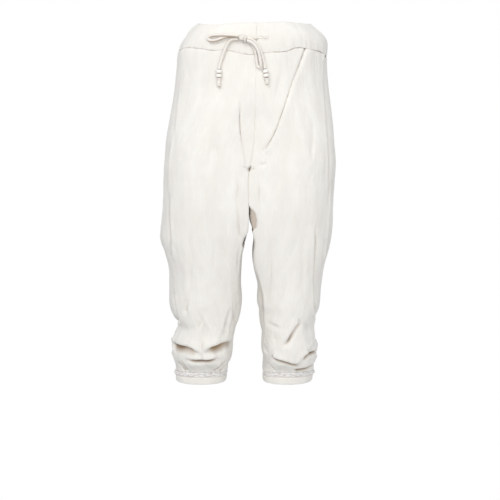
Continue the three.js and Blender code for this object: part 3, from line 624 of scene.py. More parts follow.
def panel(leg, face):
    """One of the four panels, with its creases, ripples and gathers."""
    columns, coarse, fine = PANEL_GRID[face["name"]]
    inside = np.linspace(0.012, 0.988, columns - 5)
    shares = np.concatenate([[0, 0.003, 0.007], inside, [0.993, 0.997, 1]])
    level = np.concatenate([np.linspace(0, 0.99, coarse, endpoint=False), np.linspace(1, 2, fine)])[:, None]
    share = np.repeat(shares[None, :], len(level), axis=0)
    top = waist_edge(leg, face, share, "seam") - SEAM_INSET
    bottom = above_hem(CUFF_HEIGHT, share) + SEAM_INSET
    z = np.where(level <= 1, top + (FINE_FROM - top) * level, FINE_FROM + (bottom - FINE_FROM) * (level - 1))
    base = form_point(leg, face, share, z)
    sideways = form_normal(leg, face, share, z)
    sideways[..., 2] = 0
    sideways = unit(sideways)
    steps = np.linalg.norm(np.diff(base, axis=1), axis=2)
    around = np.concatenate([np.zeros((len(level), 1)), np.cumsum(steps, axis=1)], axis=1)
    girth = around[:, -1:]
    ahead = around * -face["y"]
    x = base[..., 0]
    inner_line = column(SECTIONS, leg["inner"], z)

    # creases fade beside the side seam and the inner leg, where the two faces have to agree
    forked = ease(fork_angle(face, z), 0, 0.3)
    seam_fade = ease(share, 0, 0.06) * (1 - forked * ease(share, 0.86, 0.985))
    # painted shade darkens the cloth in the deepest troughs of the creases
    lift, slide_x, slide_z, painted_shade = (np.zeros_like(x) for _ in range(4))
    for row in FRONT_CREASES if face is FRONT_FACE else BACK_CREASES:
        start_x = row[0][0][0]
        if (start_x > 0) != (leg is LEFT) and abs(start_x) > NEAR_CENTRE:
            continue
        up, aside, down, deep = crease(x, z, row)
        painted_shade = np.maximum(painted_shade, deep * seam_fade)
        lift += up * seam_fade
        slide_x += aside * seam_fade
        slide_z += down * seam_fade
    for row in SIDE_CREASES[leg["name"]]:
        up, _, down, deep = crease(ahead, z, row)
        painted_shade = np.maximum(painted_shade, deep)
        lift += up
        slide_z += down

    # slack cloth: long soft ripples down the leg, finer ones and crumples towards the cuff
    inner_fade = 1 - ease(share, 0.93, 1)
    seed = 3 if leg is RIGHT else 11
    low = ease(-z, 380, 700)
    wander = ahead + 7 * slack(ahead / 70, z / 110, seed + 8)
    for kind, swells in ((slack, RIPPLES), (wrinkles, VALLEYS)):
        for stand, more, wide, long, own in swells:
            lift += inner_fade * (stand + more * low) * kind(wander / wide, z / long, seed + own)
    # gathers under the waistband and over the cuff
    edge_fade = ease(around, 1, 6) * (1 - ease(around, girth - 6, girth - 1))
    sides = 0.6 + 0.4 * np.abs(np.cos(share * np.pi))
    for away, gathers, fuller, own in ((top - z, UNDER_BAND, 1, 3), (z - bottom, OVER_CUFF, sides, 4)):
        far, stand, wide, long = gathers
        lift += edge_fade * np.exp(-away / far) * stand * fuller * slack(ahead / wide, z / long, seed + own)

    if face is FRONT_FACE:
        heights, edges = TURNED_BACK[leg["name"]].T
        past = (np.interp(-z, -heights, edges) - x) * leg["side"]
        past = ease(past, -0.6, 3) * (share > 0.5) * (z < heights[0]) * (z > heights[-1])
        lift -= past * TURNED_DEPTH
        # the turned-back part is also painted dark: painted shade
        painted_shade = np.maximum(painted_shade, 6 * past)
        # a spot of painted shade where the seams meet at the crotch
        pinch_shade = ((z - PINCH_SHADE_AT) / PINCH_SHADE_TALL) ** 2 + ((x - inner_line) / PINCH_SHADE_WIDE) ** 2
        painted_shade = np.maximum(painted_shade, 8 * np.exp(-pinch_shade))

    # the turned edges sink into the seams, less so at the centre and where the legs press together
    parted = ease(-z, 395, 440)
    to_inner = girth - around
    lift -= 1.3 * np.exp(-(around / 1.2) ** 2) + (0.35 + 0.9 * parted) * np.exp(-(to_inner / 1.1) ** 2)
    ends = np.minimum(top - z, z - bottom)
    lift -= 1.4 * np.exp(-(np.maximum(ends, 0) / 1.6) ** 2)
    # a thin line of painted shade on the panel just under the waistband's edge
    painted_shade = np.maximum(painted_shade, 6 * np.exp(-((top - z) / 2) ** 2))
    outer = base + sideways * lift[..., None]
    outer[..., 0] += slide_x
    outer[..., 2] += slide_z
    # nothing crosses the centre line, nor closes the gap between the legs
    keep = np.maximum if leg is LEFT else np.minimum
    kept_x = keep(outer[..., 0], inner_line + leg["side"] * SEAM_GAP / 2)
    outer[..., 0] = np.where(z > LEGS_APART, kept_x, outer[..., 0])
    sign = leg["side"] * face["y"]
    inner = outer - surface_normals(outer, -sign) * CLOTH
    name = f"{face['name']}_{leg['name']}"
    piece = thin_wall(f"panel_{name}", name, cotton, outer, inner, np.stack([around, z], axis=-1),
                      (painted_shade - DARK_FROM) / DARKEST_BY, flipped=sign < 0)
    return piece


# The bar tack further down is laid on the right front.
front_right = panel(RIGHT, FRONT_FACE)
panel(RIGHT, BACK_FACE)
panel(LEFT, FRONT_FACE)
panel(LEFT, BACK_FACE)

# ---- The waistband: one folded casing of the same cotton, joined at the centre, whose top edge is
# the fold. The drawcord inside draws it up a little, so it puffs and puckers along its seam.
BAND_ROWS, BEHIND_COLUMNS, BEFORE_COLUMNS = 22, 84, 110
# The steps of the fold at the top, how thick the casing is, how far it stands out at its edges and
# how much more in the middle, and how far its lower edge sinks into the seam.
BAND_TURN = 6
BAND_THICK = 3
BAND_PROUD = 1
BAND_PUFF = 2.4
BAND_SUNK = 0.9


def closed_tube(name, replaced, material, ring, u, v, flipped=False, painted_shade=None):
    """A piece from rings of points, one after another, closed at both ends; u and v are its cut."""
    index = np.arange(ring[..., 0].size).reshape(ring.shape[:2])
    nxt = np.roll(index, -1, axis=1)
    quads = np.stack([index[:-1], nxt[:-1], nxt[1:], index[1:]], -1).reshape(-1, 4)
    faces = quads.tolist() + [index[0][::-1].tolist(), index[-1].tolist()]
    if flipped:
        faces = [face[::-1] for face in faces]
    places = np.stack(np.broadcast_arrays(u, v), -1)
    return new_piece(name, replaced, material, ring, faces, places, painted_shade)


def waistband(leg):
    """Half of the waistband, from the centre back round the side to the centre front."""
    downs = np.concatenate([[0], 0.5 - 0.5 * np.cos(np.linspace(0.12, 0.94, BAND_ROWS) * np.pi), [1]])
    behind = np.concatenate([[1, 0.997], np.linspace(0.99, 0.012, BEHIND_COLUMNS)])
    before = np.concatenate([np.linspace(0, 0.99, BEFORE_COLUMNS), [0.997, 1]])
    bases, normals = [], []
    for face, shares in ((BACK_FACE, behind), (FRONT_FACE, before)):
        share, down = np.meshgrid(shares, downs)
        top, seam = waist_edge(leg, face, share, "top"), waist_edge(leg, face, share, "seam")
        z = top + (seam - top) * down
        bases.append(form_point(leg, face, share, z))
        normals.append(form_normal(leg, face, share, z))
    base, normal = np.concatenate(bases, axis=1), np.concatenate(normals, axis=1)
    share, down = np.meshgrid(np.concatenate([behind, before]), downs)
    middle_row = base[len(downs) // 2]
    steps = np.linalg.norm(np.diff(middle_row, axis=0), axis=1)
    run = np.concatenate([[0], np.cumsum(steps)])[None, :] + 0 * down
    ends = np.minimum(run, run[0, -1] - run)
    seed = 21 if leg is RIGHT else 31
    quiet = ease(ends, 1, 8)
    bulge = np.sin(np.pi * down)
    lift = BAND_PROUD + BAND_PUFF * bulge.clip(0) ** 0.8 + quiet * (
        0.9 * slack(run / 34, down * 1.2, seed) + 0.45 * slack(run / 13, down * 1.6, seed + 1)
        + 1.3 * ease(down, 0.55, 1) * slack(run / 6.5, down * 1.1, seed + 2)
        + 0.35 * (1 - ease(down, 0, 0.4)) * slack(run / 9, down, seed + 3)
        + 0.7 * wrinkles(run / 17, down * 1.2 + run / 90, seed + 5) * bulge.clip(0) ** 0.5)
    # it crumples over the hip, beside the side seam
    lift += np.exp(-(share / 0.12) ** 2) * 1.9 * slack(down * 3.3, run / 26, seed + 12) * bulge
    lift -= 0.45 * np.exp(-(ends / 1) ** 2)
    normal[..., 2] *= 0.5
    out = unit(normal)
    face_side = base + out * lift[..., None]
    face_side[..., 2] -= quiet * ease(down, 0.6, 1) * 1.1 * (1 + slack(run / 11, 0.5, seed + 9))
    # the lower edge turns under into the seam, the top edge turns over into the inner layer
    face_side[-1] = base[-1] - out[-1] * BAND_SUNK
    face_side[-1, :, 2] += 0.5
    inner_side = face_side[::-1] - out[::-1] * BAND_THICK
    inner_side[0] = face_side[-1] - out[-1] * (BAND_THICK - BAND_SUNK - BAND_PROUD)
    turn = []
    middle = (face_side[0] + inner_side[-1]) / 2
    for angle in np.pi * np.arange(1, BAND_TURN) / BAND_TURN:
        rise = np.array([0, 0, BAND_THICK / 2 * np.sin(angle)])
        turn.append(middle + (inner_side[-1] - middle) * np.cos(angle) + rise)
    ring = np.swapaxes(np.concatenate([face_side, inner_side, np.array(turn)], axis=0), 0, 1)
    round_band = np.linalg.norm(np.diff(ring[60], axis=0), axis=1)
    across = np.concatenate([[0], np.cumsum(round_band)])
    return closed_tube(f"band_{leg['name']}", f"waistband_{leg['name']}", cotton, ring,
                       run[0][:, None], across[None, :], flipped=leg is LEFT)


band_right, band_left = waistband(RIGHT), waistband(LEFT)

# ---- The cuffs: an elastic casing at the end of each leg, with a plain hem band below and a
# shirred strip above, pinched by its stitching and puckered by the elastic.
CUFF_COLUMNS = 132
CUFF_ROWS = 40
CUFF_THICK = 2.2
CUFF_SHAPE = np.array([
    # above the hem, how far it stands out, the waves' height
    [28.5, -0.6, 0.3], [27.5, 0.5, 0.8], [25, 1, 1], [20, 0.9, 1], [18, 0.6, 0.8], [17, -0.7, 0.4],
    [16, 0.2, 0.3], [14.5, 1.2, 0.25], [8, 1.4, 0.25], [2, 1.2, 0.2], [0.6, 0.7, 0.2], [0, -0.4, 0.2],
], float)
# Minus the height above the hem, and how dark the painted shade makes the cloth there: in the seam, and where
# the stitching pinches the strip.
CUFF_SHADE = np.array([[-28.5, 1], [-27, 0], [-18, 0.1], [-17, 0.6], [-16, 0], [0, 0]])
FRILL_FLARE, FRILL_AT = 4, 22
# How wide one column is on the cut.
CUFF_COLUMN = 1.4
HEM_STITCHES = 118
STITCH_ABOVE_HEM = 14.2
STITCH_LONG, STITCH_THICK = 2.3, 0.55
# A sewn thread: its sides, and where its rings lie along it and how full they are.
THREAD_SIDES = 6
THREAD_RINGS = ((-0.5, 0.35), (-0.3, 1), (0.3, 1), (0.5, 0.35))


def cuff_point(leg, place, height):
    """A point on the cuff's face and its way out: place runs once round, height is above the hem."""
    from_side = np.minimum(place, 2 * CUFF_COLUMNS - place)
    share = from_side / CUFF_COLUMNS
    before = (place < CUFF_COLUMNS)[:, None]
    seed = 41 if leg is RIGHT else 51
    z = above_hem(height, share)
    points = np.where(before, form_point(leg, FRONT_FACE, share, z), form_point(leg, BACK_FACE, share, z))
    normal = np.where(before, form_normal(leg, FRONT_FACE, share, z), form_normal(leg, BACK_FACE, share, z))
    normal[:, 2] = 0
    normal = unit(normal)
    stand, wave = (np.interp(-height, -CUFF_SHAPE[:, 0], CUFF_SHAPE[:, k]) for k in (1, 2))
    ear = FRILL_FLARE * np.maximum(np.cos(share * np.pi), 0) ** 10 * np.exp(-((height - FRILL_AT) / 3.4) ** 2)
    ripple = 0.8 * slack(place / 3.1, height / 14, seed) + 0.6 * slack(place / 1.8, height / 6, seed + 1)
    stand = stand + ear + wave * ripple * np.clip(from_side / 4, 0, 1)
    return points + normal * stand[:, None], normal


def stitches(name, material, laid, long, thick):
    """Short rounded threads, each from its middle, its own way on the cloth and the cloth's way out."""
    middles, ways, outs = (np.array(part, float) for part in zip(*laid))
    ways, outs = unit(ways), unit(outs)
    outs = unit(outs - ways * np.sum(outs * ways, axis=1)[:, None])
    asides = np.cross(ways, outs)
    angle = np.linspace(0, 2 * np.pi, THREAD_SIDES, endpoint=False)
    long = np.broadcast_to(long, len(middles))[:, None]
    rings = []
    for at, size in THREAD_RINGS:
        aside = np.cos(angle) * thick * size / 2
        up = np.sin(angle) * thick * size / 2 - (1 - size) * thick * 0.4
        rings.append((middles + ways * at * long)[:, None, :]
                     + asides[:, None, :] * aside[None, :, None] + outs[:, None, :] * up[None, :, None])
    faces = []
    last = THREAD_SIDES * (len(THREAD_RINGS) - 1)
    for first in range(0, len(middles) * (last + THREAD_SIDES), last + THREAD_SIDES):
        for a in range(first, first + last):
            b = a + 1 if (a - first + 1) % THREAD_SIDES else a + 1 - THREAD_SIDES
            faces.append((a, b, b + THREAD_SIDES, a + THREAD_SIDES))
        faces.append(tuple(range(first + THREAD_SIDES - 1, first - 1, -1)))
        faces.append(tuple(range(first + last, first + last + THREAD_SIDES)))
    return new_piece(name, None, material, np.stack(rings, axis=1), faces)


# The shirred strip is painted with a crinkled mix of brown and near white, greyer than the hem: painted shade
# and highlights of the tiny puckers where the cloth is drawn up over elastic.
hem_cotton = woven("hem_cotton", (0.86, 0.825, 0.765), COTTON_SHADE, COTTON_BLUSH,
                   COTTON_THREADS, 0.5, 0.0004)
tree = hem_cotton.node_tree
nodes = {made.bl_idname: made for made in tree.nodes}
cut = nodes["ShaderNodeUVMap"].outputs[0]
strip = remap(tree, split_cut(tree, cut)[1], -0.0164, -0.0176)
crinkle_place = node(tree, "ShaderNodeMapping", {"Vector": cut, "Scale": (100.0, 480.0, 1.0)})
pucker_light_and_shade = remap(tree, noise(tree, crinkle_place.outputs[0], 1.0, 2.0), 0.35, 0.6)
painted_pucker_shading = mix(tree, pucker_light_and_shade, (0.6, 0.54, 0.49, 1), (0.9, 0.89, 0.88, 1))
hem_colour = mix(tree, strip, nodes["ShaderNodeGroup"].outputs["Colour"], painted_pucker_shading)
put(tree, nodes["ShaderNodeBsdfPrincipled"], {"Base Color": hem_colour})
SEWING_THREADS = 3000.0
sewing_thread = woven("sewing_thread", (0.9, 0.875, 0.83), (0.86, 0.83, 0.78), (0.86, 0.82, 0.77),
                      SEWING_THREADS, 0.2, 0.0002)

place = np.arange(2 * CUFF_COLUMNS)
heights = np.interp(np.linspace(0, 1, CUFF_ROWS), np.linspace(0, 1, len(CUFF_SHAPE)), CUFF_SHAPE[:, 0])
cut = np.stack(np.meshgrid(place * CUFF_COLUMN, -heights), -1)
painted_shade = np.interp(cut[..., 1], CUFF_SHADE[:, 0], CUFF_SHADE[:, 1])
for leg in (RIGHT, LEFT):
    outer = np.array([cuff_point(leg, place, height)[0] for height in heights])
    out = surface_normals(outer, 1, closed=True)
    sign = 1 if np.sum((outer - outer.mean(axis=1, keepdims=True)) * out) > 0 else -1
    piece = thin_wall(f"cuff_band_{leg['name']}", f"cuff_{leg['name']}", hem_cotton, outer,
                      outer - out * sign * CUFF_THICK, cut, painted_shade, closed=True, flipped=sign < 0)
    at = np.linspace(0.5, 2 * CUFF_COLUMNS - 0.5, HEM_STITCHES)
    middles, outs = cuff_point(leg, at, STITCH_ABOVE_HEM)
    ways = cuff_point(leg, (at + 0.4) % (2 * CUFF_COLUMNS), STITCH_ABOVE_HEM)[0] - middles
    sewn = stitches(f"hem_stitches_{leg['name']}", sewing_thread, zip(middles + outs * 0.1, ways, outs),
                    STITCH_LONG, STITCH_THICK)

# ---- The bar tack low on the outer side of the right leg: turns of white thread, worked close
# together by machine, that hold the end of the side fold.
TACK_X, TACK_FROM, TACK_TO, TACK_STEP = -165.5, -652, -640, 0.8
TACK_LONG, TACK_THICK = 4.4, 1.1


def faces_of(piece):
    mesh = piece.data
    return BVHTree.FromPolygons([v.co for v in mesh.vertices], [p.vertices for p in mesh.polygons])


def laid_on(faces, x, z, way, proud):
    """A stitch's middle on the front of a piece at x, z, so far proud of it, its way and the way out."""
    spot, out, _, _ = faces.ray_cast(Vector((x, -300, z)) * MM, Vector((0, 1, 0)))
    return np.array(spot) / MM + np.array(out) * proud, way, np.array(out)


right_panel = faces_of(front_right)
laid = []
for z in np.arange(TACK_FROM, TACK_TO, TACK_STEP):
    x = TACK_X + 1.4 * math.sin(0.62 * (z - TACK_FROM))
    laid.append(laid_on(right_panel, x, z, (1, 0, 0.3 * math.sin(3 * z)), 0.35))
tack_thread = woven("tack_thread", (0.93, 0.92, 0.9), (0.9, 0.88, 0.85), (0.9, 0.87, 0.84),
                    SEWING_THREADS, 0.2, 0.0002)
tack = stitches("side_tack", tack_thread, laid, TACK_LONG, TACK_THICK)

# ---- The buttonhole for the drawcord, worked in the band to the wearer's left of the knot: a slit
# edged with close stitches and barred at its ends.
SLIT_FROM, SLIT_TO, SLIT_Z = 6, 25.5, -36
SLIT_HALF = 0.8
ABOVE_SLIT, BELOW_SLIT = 5, 1.8
# The specks of painted shade just past the slit's outer end, by how far they are above it.
SPECKS_PAST, SPECK_HEIGHTS = 2.8, (-2.6, 0.2, 3, 5.8)
left_band = faces_of(band_left)
laid = []
for x in np.arange(SLIT_FROM, SLIT_TO + 0.1, 0.62):
    for height, long in ((SLIT_HALF + ABOVE_SLIT / 2, ABOVE_SLIT), (-SLIT_HALF - BELOW_SLIT / 2, BELOW_SLIT)):
        z = SLIT_Z + height + 0.2 * math.sin(3 * x)
        laid.append(laid_on(left_band, x, z, (0.08 * math.sin(5 * x), 0, long), 0.1))
edge = stitches("buttonhole_edge", sewing_thread, laid, [way[2] for _, way, _ in laid], STITCH_THICK)
laid = []
for height in np.arange(-BELOW_SLIT, ABOVE_SLIT + 1, 0.7):
    for x in (SLIT_FROM - 1.2, SLIT_TO + 1.2):
        laid.append(laid_on(left_band, x, SLIT_Z + height, (1, 0, 0.05 * math.sin(7 * height)), 0.25))
bars = stitches("buttonhole_bars", sewing_thread, laid, 2.4, 0.8)
# The slit and the specks are dark brown stitches of painted shade, for the shade in the opening and between
# the bar's turns.
slit_shade, tree, shader = new_material("slit_shade")
where = node(tree, "ShaderNodeTexCoord", {}).outputs["Object"]
slit_shade_colour = mix(tree, noise(tree, where, 2400.0, 2.0), (0.3, 0.22, 0.15, 1), (0.55, 0.45, 0.36, 1))
put(tree, shader, {"Base Color": slit_shade_colour, "Roughness": 0.95})
laid = []
for x in np.arange(SLIT_FROM + 0.5, SLIT_TO, 1.3):
    laid.append(laid_on(left_band, x, SLIT_Z, (1, 0, 0.1 * math.sin(4 * x)), -0.1))
for height in SPECK_HEIGHTS:
    laid.append(laid_on(left_band, SLIT_TO + SPECKS_PAST, SLIT_Z + height, (0, 0, 1), 0.1))
slit = stitches("buttonhole_slit", slit_shade, laid, 1.7, 0.8)

# ---- The drawcord: a soft cotton tube 6 mm wide, tied in a bow at the front. It comes out of the
# buttonhole to the knot; two loops and two tails leave the knot.
CORD = 6
FEED_ROUTE = [
    [-15.1, -107.9, -32.6], [-10, -107.4, -33], [-4, -106.8, -33.8], [1, -106.2, -34.8], [5.5, -105.2, -35.8],
]
LOOP_RIGHT_ROUTE = [
    [-32.9, -112.8, -31], [-42, -111.4, -30], [-52, -108.3, -29.2], [-64, -103.4, -28.6], [-76, -97.8, -28.4],
    [-86, -92.8, -29], [-92.5, -90, -31], [-95.4, -88.8, -34.6], [-92.5, -91.2, -38.2], [-86, -94.6, -39.6],
    [-76, -97.8, -37.9], [-67, -99.8, -34.8], [-58, -100.8, -32], [-47, -103.4, -30.6], [-38, -106, -30.2],
    [-32.9, -106.2, -30.4],
]
LOOP_LEFT_ROUTE = [
    [-15.2, -108.4, -40.2], [-8.5, -109.6, -44.5], [-2.5, -109.5, -52], [1.6, -108.9, -61],
    [3.8, -107.7, -72], [5.4, -107.6, -84], [7.2, -107.9, -91], [10.4, -109.2, -94.8],
    [13.4, -111.8, -92.5], [13.2, -113.6, -86], [11.2, -114.2, -74], [8.2, -114.8, -62],
    [2.9, -115.6, -52.4], [-3.8, -116.2, -45.4], [-9.5, -115.6, -42], [-15.2, -114.6, -40.6],
]
TAIL_RIGHT_ROUTE = [
    [-32.9, -106.9, -37.8], [-40, -106, -37.2], [-47, -104.4, -38.8], [-53, -102.8, -44], [-57, -102, -51],
    [-61, -101.2, -60], [-66, -99.7, -74], [-70.5, -99.2, -87], [-72.6, -100.6, -97.5],
]
TAIL_LEFT_ROUTE = [
    [-14.9, -111.6, -34.8], [-7, -112, -36.8], [1, -111.4, -43], [8.5, -109.9, -52], [14, -108.8, -63],
    [18, -107.8, -77], [20.6, -108, -88], [22.1, -109.6, -97],
]
CORD_SIDES = 20
FEED_FLATNESS = 0.45
# The knot: the one turn of cord that wraps it, and its core.
KNOT_AT = np.array([-24, -110.4, -35.4])
KNOT_TURN = [
    (-31, -110.4, -36.5), (-28.6, -114.6, -37.6), (-25.4, -116.6, -35.2), (-23.4, -115.4, -30.8),
    (-23.8, -110.6, -28.8), (-24.6, -106.4, -31.6), (-23, -105.4, -36), (-20.6, -108.2, -41.4),
    (-19.4, -113, -42), (-18.4, -116, -38), (-17, -113.5, -33.5),
]
KNOT_CORE = [(-30, -110.4, -35), (-26, -110.6, -35.2), (-21, -110.4, -35.6), (-17, -110.2, -36)]
cord_cotton = woven("cord_cotton", (0.85, 0.815, 0.76), (0.78, 0.735, 0.67), (0.8, 0.745, 0.69),
                    1600.0, 0.35, 0.0004, fold_shade_tint=(0.52, 0.34, 0.2))


def soft_rings(line, outward, half_wide, half_thick):
    """Rings round a line, so wide across it and so thick towards the way out."""
    ahead = unit(np.gradient(line, axis=0))
    thick = unit(outward - ahead * np.sum(ahead * outward, axis=1)[:, None])
    wide = np.cross(ahead, thick)
    angle = np.linspace(0, 2 * np.pi, CORD_SIDES, endpoint=False)
    return (line[:, None, :] + wide[:, None, :] * (np.cos(angle) * half_wide[:, None])[..., None]
            + thick[:, None, :] * (np.sin(angle) * half_thick[:, None])[..., None])


def cord(name, route, flatness=0.86, seed=0, underside_shade_strength=0.35):
    """A soft tube along its route, a little flattened, unevenly full and darkened underneath with painted
    shade.
    """
    line = smooth_line(route, 400)
    length = float(np.sum(np.linalg.norm(np.diff(line, axis=0), axis=1)))
    line = smooth_line(route, max(int(length / 1.2), 12))
    run = np.linspace(0, length, len(line))
    full = 1 + 0.05 * slack(run / 7, run * 0, seed) + 0.03 * slack(run / 3, run * 0, seed + 1)
    half = CORD / 2
    ring = soft_rings(line, np.array([0.0, -1.0, 0.0]), half * full, half * flatness / full)
    underside_shade = np.clip((line[:, None, 2] - ring[..., 2]) / half - 0.1, 0, 1) * underside_shade_strength
    around = np.linspace(0, 2 * np.pi, CORD_SIDES, endpoint=False) * half
    piece = closed_tube(name, f"cord_{name}", cord_cotton, ring, around, run[:, None], painted_shade=underside_shade)
    return piece, (line * MM).tolist(), length * MM


def knot_part(name, replaced, route, count, half, flatness, long):
    """A part of the knot, fading to its ends, so long on its cut."""
    line = smooth_line(route, count)
    swell = half * np.sin(np.linspace(0.06, 0.94, count) * np.pi) ** 0.25
    ring = soft_rings(line, unit(line - KNOT_AT), swell, swell * flatness)
    around, run = np.linspace(0, 3 * 2 * np.pi, CORD_SIDES), np.linspace(0, long, count)
    return closed_tube(name, replaced, cord_cotton, ring, around, run[:, None])


feed = cord("feed", FEED_ROUTE, flatness=FEED_FLATNESS, seed=61)[0]
knot = knot_part("knot", "cord_knot", KNOT_TURN, 60, 2.7, 0.5, 60)
knot_core = knot_part("knot_core", None, KNOT_CORE, 20, 5.2, 1.0, 15)
loop_right, loop_right_line, loop_right_length = cord("loop_right", LOOP_RIGHT_ROUTE, seed=63, underside_shade_strength=1.0)
loop_left, loop_left_line, loop_left_length = cord("loop_left", LOOP_LEFT_ROUTE, seed=65)
tail_right, tail_right_line, tail_right_length = cord("tail_right", TAIL_RIGHT_ROUTE, seed=67)
tail_left, tail_left_line, tail_left_length = cord("tail_left", TAIL_LEFT_ROUTE, seed=69)

# ---- On each tail, two squat beads painted off-white, and below them the cord's end, bound with
# thread. The beads are threaded on the cord, and the thick bound end keeps them there.
BEAD_HALF = 4
BEAD_RADIUS = 5.8
BEAD_HOLE = 2.6
TURNED_SIDES = 28
TAILS = {
    "right": {"top": (-73, -101.2, -98.2), "tip": 19, "lean": 0},
    "left": {"top": (22.5, -110, -97.9), "tip": 14.5, "lean": 0.13},
}
BEAD_TURN = [(0.01, -BEAD_HALF), (BEAD_HOLE, -BEAD_HALF)] + [
    (BEAD_HOLE + (BEAD_RADIUS - BEAD_HOLE) * max(math.cos(a), 0) ** 0.6, BEAD_HALF * math.sin(a))
    for a in np.linspace(-math.pi / 2 + 0.12, math.pi / 2 - 0.12, 15)
] + [(BEAD_HOLE, BEAD_HALF), (0.01, BEAD_HALF)]


def tip_turn(long):
    """The bound end: a full collar, a waist, a second swelling and a blunt tip."""
    return [(0.01, 0), (3, 0), (3.9, 0.5), (4.2, 1.4), (4.1, 3), (3.5, 4.6), (3.3, 6), (3.7, 8),
            (4, long * 0.55), (3.8, long * 0.66), (3.1, long * 0.76), (3.2, long * 0.84),
            (3, long * 0.92), (2.1, long - 0.4), (0.01, long)]


def turned(name, replaced, material, profile, tail, drop, lumps=0.0, shade_from=None):
    """A piece turned about the tail's line, from its radius and how far it lies below its own middle; from
    shade_from on, and at its top, it carries painted shade.
    """
    profile, lean = np.array(profile, float), tail["lean"]
    if lumps:
        drops, way = np.linspace(0, 1, 42), np.linspace(0, 1, len(profile))
        profile = np.stack([np.interp(drops, way, profile[:, k]) for k in (0, 1)], axis=1)
    angle = np.linspace(0, 2 * np.pi, TURNED_SIDES, endpoint=False)
    down = np.array([math.sin(lean), 0, -math.cos(lean)])
    aside = np.array([math.cos(lean), 0, math.sin(lean)])
    fore = np.array([0, -1.0, 0])
    radius = profile[:, :1] * (1 + lumps * slack(angle / 1.05, profile[:, 1:] / 2.6, 7 + lean * 50))
    ring = (np.array(tail["top"]) + down * (drop + profile[:, 1])[:, None])[:, None, :] \
        + aside * (radius * np.cos(angle))[..., None] + fore * (radius * np.sin(angle))[..., None]
    run = np.concatenate([[0], np.cumsum(np.linalg.norm(np.diff(profile, axis=0), axis=1))])
    end_shade = None
    if shade_from is not None:
        # painted shade: darker towards the tip's lower end, and just under the bead above
        end_shade = ease(profile[:, 1], shade_from, shade_from + 1.6) + 0.8 * (1 - ease(profile[:, 1], 0.4, 1.2))
        end_shade = np.repeat(end_shade, TURNED_SIDES)
    return closed_tube(name, replaced, material, ring, angle * 3, run[:, None], painted_shade=end_shade)


# Both rims of a bead are painted dark brown: painted shade where the bead meets the next bead or the cord.
bead_white, tree, shader = new_material("bead_white")
cut = node(tree, "ShaderNodeUVMap", {}, uv_map="cut").outputs[0]
along = split_cut(tree, cut)[1]
clear_of_rim_shade = maths(tree, "MULTIPLY", remap(tree, along, 0.0022, 0.004), remap(tree, along, 0.0128, 0.0108))
put(tree, shader, {
    "Base Color": mix(tree, clear_of_rim_shade, (0.32, 0.17, 0.07, 1), (0.87, 0.85, 0.8, 1)),
    "Roughness": remap(tree, noise(tree, cut, 900.0, 2.0), 0.3, 0.7, 0.28, 0.42),
})
bound_end = woven("bound_end", (0.88, 0.86, 0.82), (0.8, 0.75, 0.67), (0.78, 0.7, 0.6), 1800.0, 0.3, 0.0005,
                  fold_shade_tint=(0.45, 0.3, 0.19))
on_tail = {}
for name, tail in TAILS.items():
    on_tail[name] = []
    lower = 3 * BEAD_HALF + SEAM_GAP
    for short, long, drop in (("top", "upper", BEAD_HALF), ("low", "lower", lower)):
        on_tail[name].append(turned(f"bead_{name}_{short}", f"bead_{name}_{long}", bead_white,
                                    BEAD_TURN, tail, drop))
    on_tail[name].append(turned(f"end_{name}", f"tip_{name}", bound_end, tip_turn(tail["tip"]), tail,
                                lower + BEAD_HALF + SEAM_GAP, lumps=0.16, shade_from=tail["tip"] - 2.2))

# ---- The floor, the studio light and the camera: a white sweep lit by two large soft lights, and seen
# from a little under the waist, looking down.
FLOOR_Z, FLOOR_HALF = -1.05, 20
SENSOR = 36
LENS_TO_SENSOR = 955 / 500
LOOKS_DOWN = 9.5


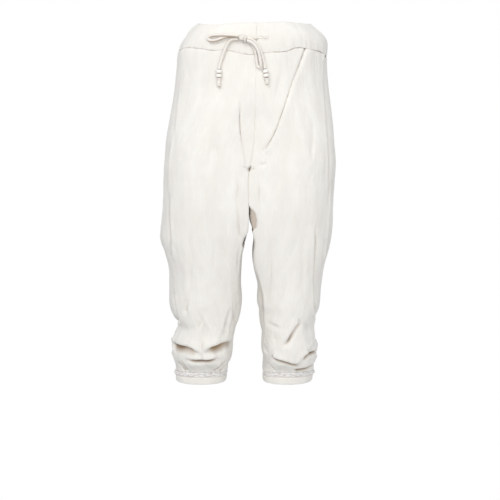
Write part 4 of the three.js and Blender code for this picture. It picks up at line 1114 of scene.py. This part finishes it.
def white_to_camera(tree, lit_kind, lit_inputs, white_kind, out_kind):
    """A shader for the light, and plain white where the camera looks straight at it."""
    tree.nodes.clear()
    seen = node(tree, "ShaderNodeLightPath", {}).outputs["Is Camera Ray"]
    lit = node(tree, lit_kind, lit_inputs).outputs[0]
    white = node(tree, white_kind, {"Color": (1, 1, 1, 1), "Strength": 1.0}).outputs[0]
    either = node(tree, "ShaderNodeMixShader", {0: seen, 1: lit, 2: white})
    node(tree, out_kind, {0: either.outputs[0]})


floor_mesh = bpy.data.meshes.new("floor")
corners = [(x * FLOOR_HALF, y * FLOOR_HALF, FLOOR_Z) for x, y in ((-1, -1), (1, -1), (1, 1), (-1, 1))]
floor_mesh.from_pydata(corners, [], [(0, 1, 2, 3)])
floor = bpy.data.objects.new("floor", floor_mesh)
bpy.context.scene.collection.objects.link(floor)
floor_white, tree, _ = new_material("floor_white")
white_to_camera(tree, "ShaderNodeBsdfDiffuse", {"Color": (0.6, 0.6, 0.6, 1)}, "ShaderNodeEmission",
                "ShaderNodeOutputMaterial")
floor_mesh.materials.append(floor_white)

world = bpy.data.worlds.new("studio")
bpy.context.scene.world = world
world.use_nodes = True
white_to_camera(world.node_tree, "ShaderNodeBackground", {"Color": (0.93, 0.96, 1.0, 1), "Strength": 0.77},
                "ShaderNodeBackground", "ShaderNodeOutputWorld")


def softbox(name, place, aim, width, height, power, colour):
    light = bpy.data.lights.new(name, "AREA")
    light.shape = "RECTANGLE"
    light.size, light.size_y = width, height
    light.energy = power
    light.color = colour
    lamp = bpy.data.objects.new(name, light)
    lamp.location = place
    lamp.rotation_euler = (Vector(aim) - Vector(place)).to_track_quat("-Z", "Y").to_euler()
    bpy.context.scene.collection.objects.link(lamp)


softbox("key", (-0.95, -1.5, 1.3), (0, 0, -0.3), 1.1, 0.9, 17, (1.0, 0.99, 0.97))
softbox("front", (0.6, -2.4, 0.05), (0, 0, -0.3), 1.3, 1.3, 19.5, (1.0, 0.99, 0.98))

camera_data = bpy.data.cameras.new("camera")
camera_data.sensor_width = SENSOR
camera_data.lens = SENSOR * LENS_TO_SENSOR
camera = bpy.data.objects.new("camera", camera_data)
camera.location = (-0.0088, -2.1, -0.14)
camera.rotation_euler = (math.radians(90 - LOOKS_DOWN), 0, 0)
bpy.context.scene.collection.objects.link(camera)
bpy.context.scene.camera = camera
bpy.context.scene.view_settings.view_transform = "Standard"
